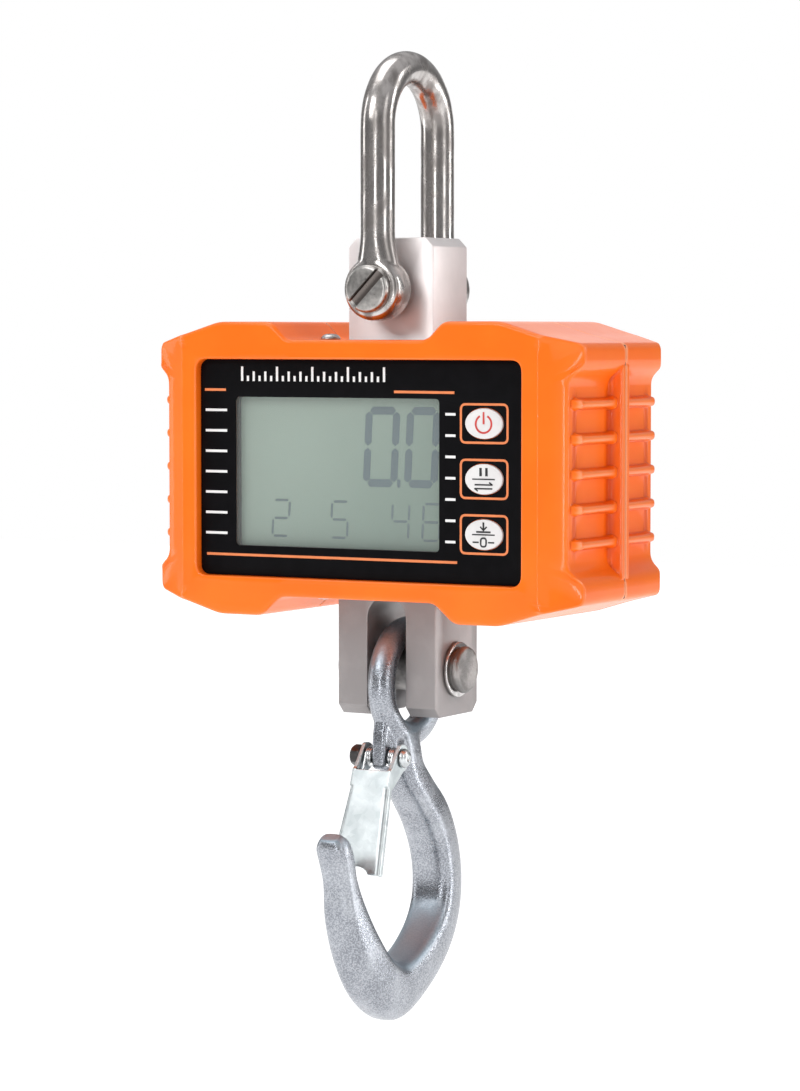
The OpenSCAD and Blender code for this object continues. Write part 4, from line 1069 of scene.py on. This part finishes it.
def batteryCover():
    c = coverPlate
    made = rearPlate("batteryCover", c)
    half, wide, pitch, deep = c["grip"]
    seat, sunk = c["seat"]
    x, z = c["screws"]
    cutters = [bore("seat", (sx * x, c["high"] - sunk, sz * z), seat, 4) for sx, sz in corners]
    for k in range(-2, 3):
        line = rectangle((-half, half), (k * pitch - wide, k * pitch + wide), wide * 0.95, 6)
        cutters.append(solid("groove", prism(line, c["high"] - deep, c["high"] + 2), 30))
    cut(made, cutters, 32)
    add(made, "battery_cover", "orangeCoat", "orange_coat", "battery_cover")


batteryCover()
add(rearPlate("ratingPlate", ratingPlate), "housing", "labelPlate", "blank_label", "rating_plate")

topScrews = dict(x=(24, 26.8), y=16.5, z=(48, -47.4), radius=3.75, height=2.2, shank=1.9, recess=(2.3, 0.42, 1.3))


def mountScrews():
    # Domed heads with a cross recess, which stand on the floors of the two notches
    t = topScrews
    r, h = t["radius"], t["height"]
    profile = [(-6, 0), (-6, t["shank"]), (0, t["shank"]), (0, r * 0.96), (h * 0.2, r), (h * 0.45, r * 0.94),
               (h * 0.7, r * 0.80), (h * 0.88, r * 0.60), (h * 0.97, r * 0.36), (h, r * 0.15), (h, 0)]
    reach, half, deep = t["recess"]
    heads, bars, crossBars = [], [], []
    for x, z in zip(t["x"], t["z"]):
        way = math.copysign(1, z)
        low, high = way * (h - deep), way * (h + 1)
        for sx, sy in corners:
            place = np.array([sx * x, sy * t["y"], z])
            heads.append(turned(profile, place, (0, 0, way), 40))
            bars.append(block(place + (-reach, -half, low), place + (reach, half, high)))
            crossBars.append(block(place + (-half, -reach, low), place + (half, reach, high)))
    made = solid("mountScrews", joined(*heads), 40)
    cut(made, [solid("barCut", joined(*bars), 30), solid("crossCut", joined(*crossBars), 30)], 40)
    add(made, "housing", "screwSteel", "screw_steel", "case_mount_screws")


mountScrews()
print("panel, keys, display and cover made")

# ---- stage

studio = dict(  # metres; sky is a list of heights, from 0 straight down to 1 straight up, and strengths
    floorZ=-0.62, reach=6.0, tone=(0.62, 0.62, 0.62), glow=0.85, middle=(0, 0, -0.16), skyStrength=0.68,
    sky=[(0.0, 0.95), (0.40, 0.75), (0.47, 0.30), (0.56, 0.26), (0.66, 0.55), (0.85, 0.90), (1.0, 0.95)])


def makeStage():
    # A plain floor
    s = studio
    side = np.linspace(-s["reach"], s["reach"], 5)
    points = np.stack(np.broadcast_arrays(side[:, None], side[None, :], s["floorZ"]), -1)
    where, quads = grid(points)
    mesh = bpy.data.meshes.new("floor")
    mesh.from_pydata(where.tolist(), [], quads[:, ::-1].tolist())
    floor = newObject("floor", mesh)
    pale = Finish("paleFloor", s["tone"], 0.9, **{"Emission Strength": s["glow"], "Emission Color": (1, 1, 1, 1)})
    mesh.materials.append(pale.material)


# place, width and height, power in watts, and whether only gloss shows the light
lights = dict(
    keyLight=((-0.45, -1.5, 0.85), (0.9, 0.7), 11, False),
    rightLight=((1.5, -0.3, 0.15), (0.3, 1.2), 4.2, False),
    leftLight=((-1.3, -0.4, 0.1), (0.25, 1.2), 3, False),
    topLight=((-0.35, 0.0, 1.1), (1.0, 0.8), 5.5, False),
    edgeStrip=((1.05, 0.85, -0.1), (0.16, 1.5), 7, True),
    creaseStrip=((0.36, -1.56, 0.0), (0.07, 1.4), 5, True),
    backdrop=((-0.9, 1.6, 0.17), (2.2, 0.5), 3.8, True))


def lightUp():
    for name, (where, size, power, glossOnly) in lights.items():
        data = bpy.data.lights.new(name, "AREA")
        data.shape, data.size, data.size_y, data.energy = "RECTANGLE", *size, power
        made = newObject(name, data)
        made.location = where
        made.rotation_euler = (Vector(studio["middle"]) - Vector(where)).to_track_quat("-Z", "Y").to_euler()
        made.visible_diffuse, made.visible_camera = not glossOnly, False


def studioWorld():
    # White to look at; what it sheds is darkest round the horizon
    world = bpy.data.worlds.new("studio")
    w = NodeTree(world)
    height = w.node("ShaderNodeSeparateXYZ", {0: w.node("ShaderNodeTexCoord", out="Generated")}, out=2)
    tone = w.node("ShaderNodeValToRGB", {0: w.node("ShaderNodeMapRange", {"Value": height, "From Min": -1})},
                  stops=[(where, (tone, tone, tone * 1.02, 1)) for where, tone in studio["sky"]])
    lit = w.node("ShaderNodeBackground", {0: tone, 1: studio["skyStrength"]})
    seen = w.node("ShaderNodeBackground", {0: (1, 1, 1, 1)})
    inView = w.node("ShaderNodeLightPath", out="Is Camera Ray")
    w.node("ShaderNodeOutputWorld", {0: w.node("ShaderNodeMixShader", {0: inView, 1: lit, 2: seen})})
    bpy.context.scene.world = world
    bpy.context.scene.view_settings.view_transform = "Standard"


makeStage()
studioWorld()
lightUp()
print("stage and lights made")
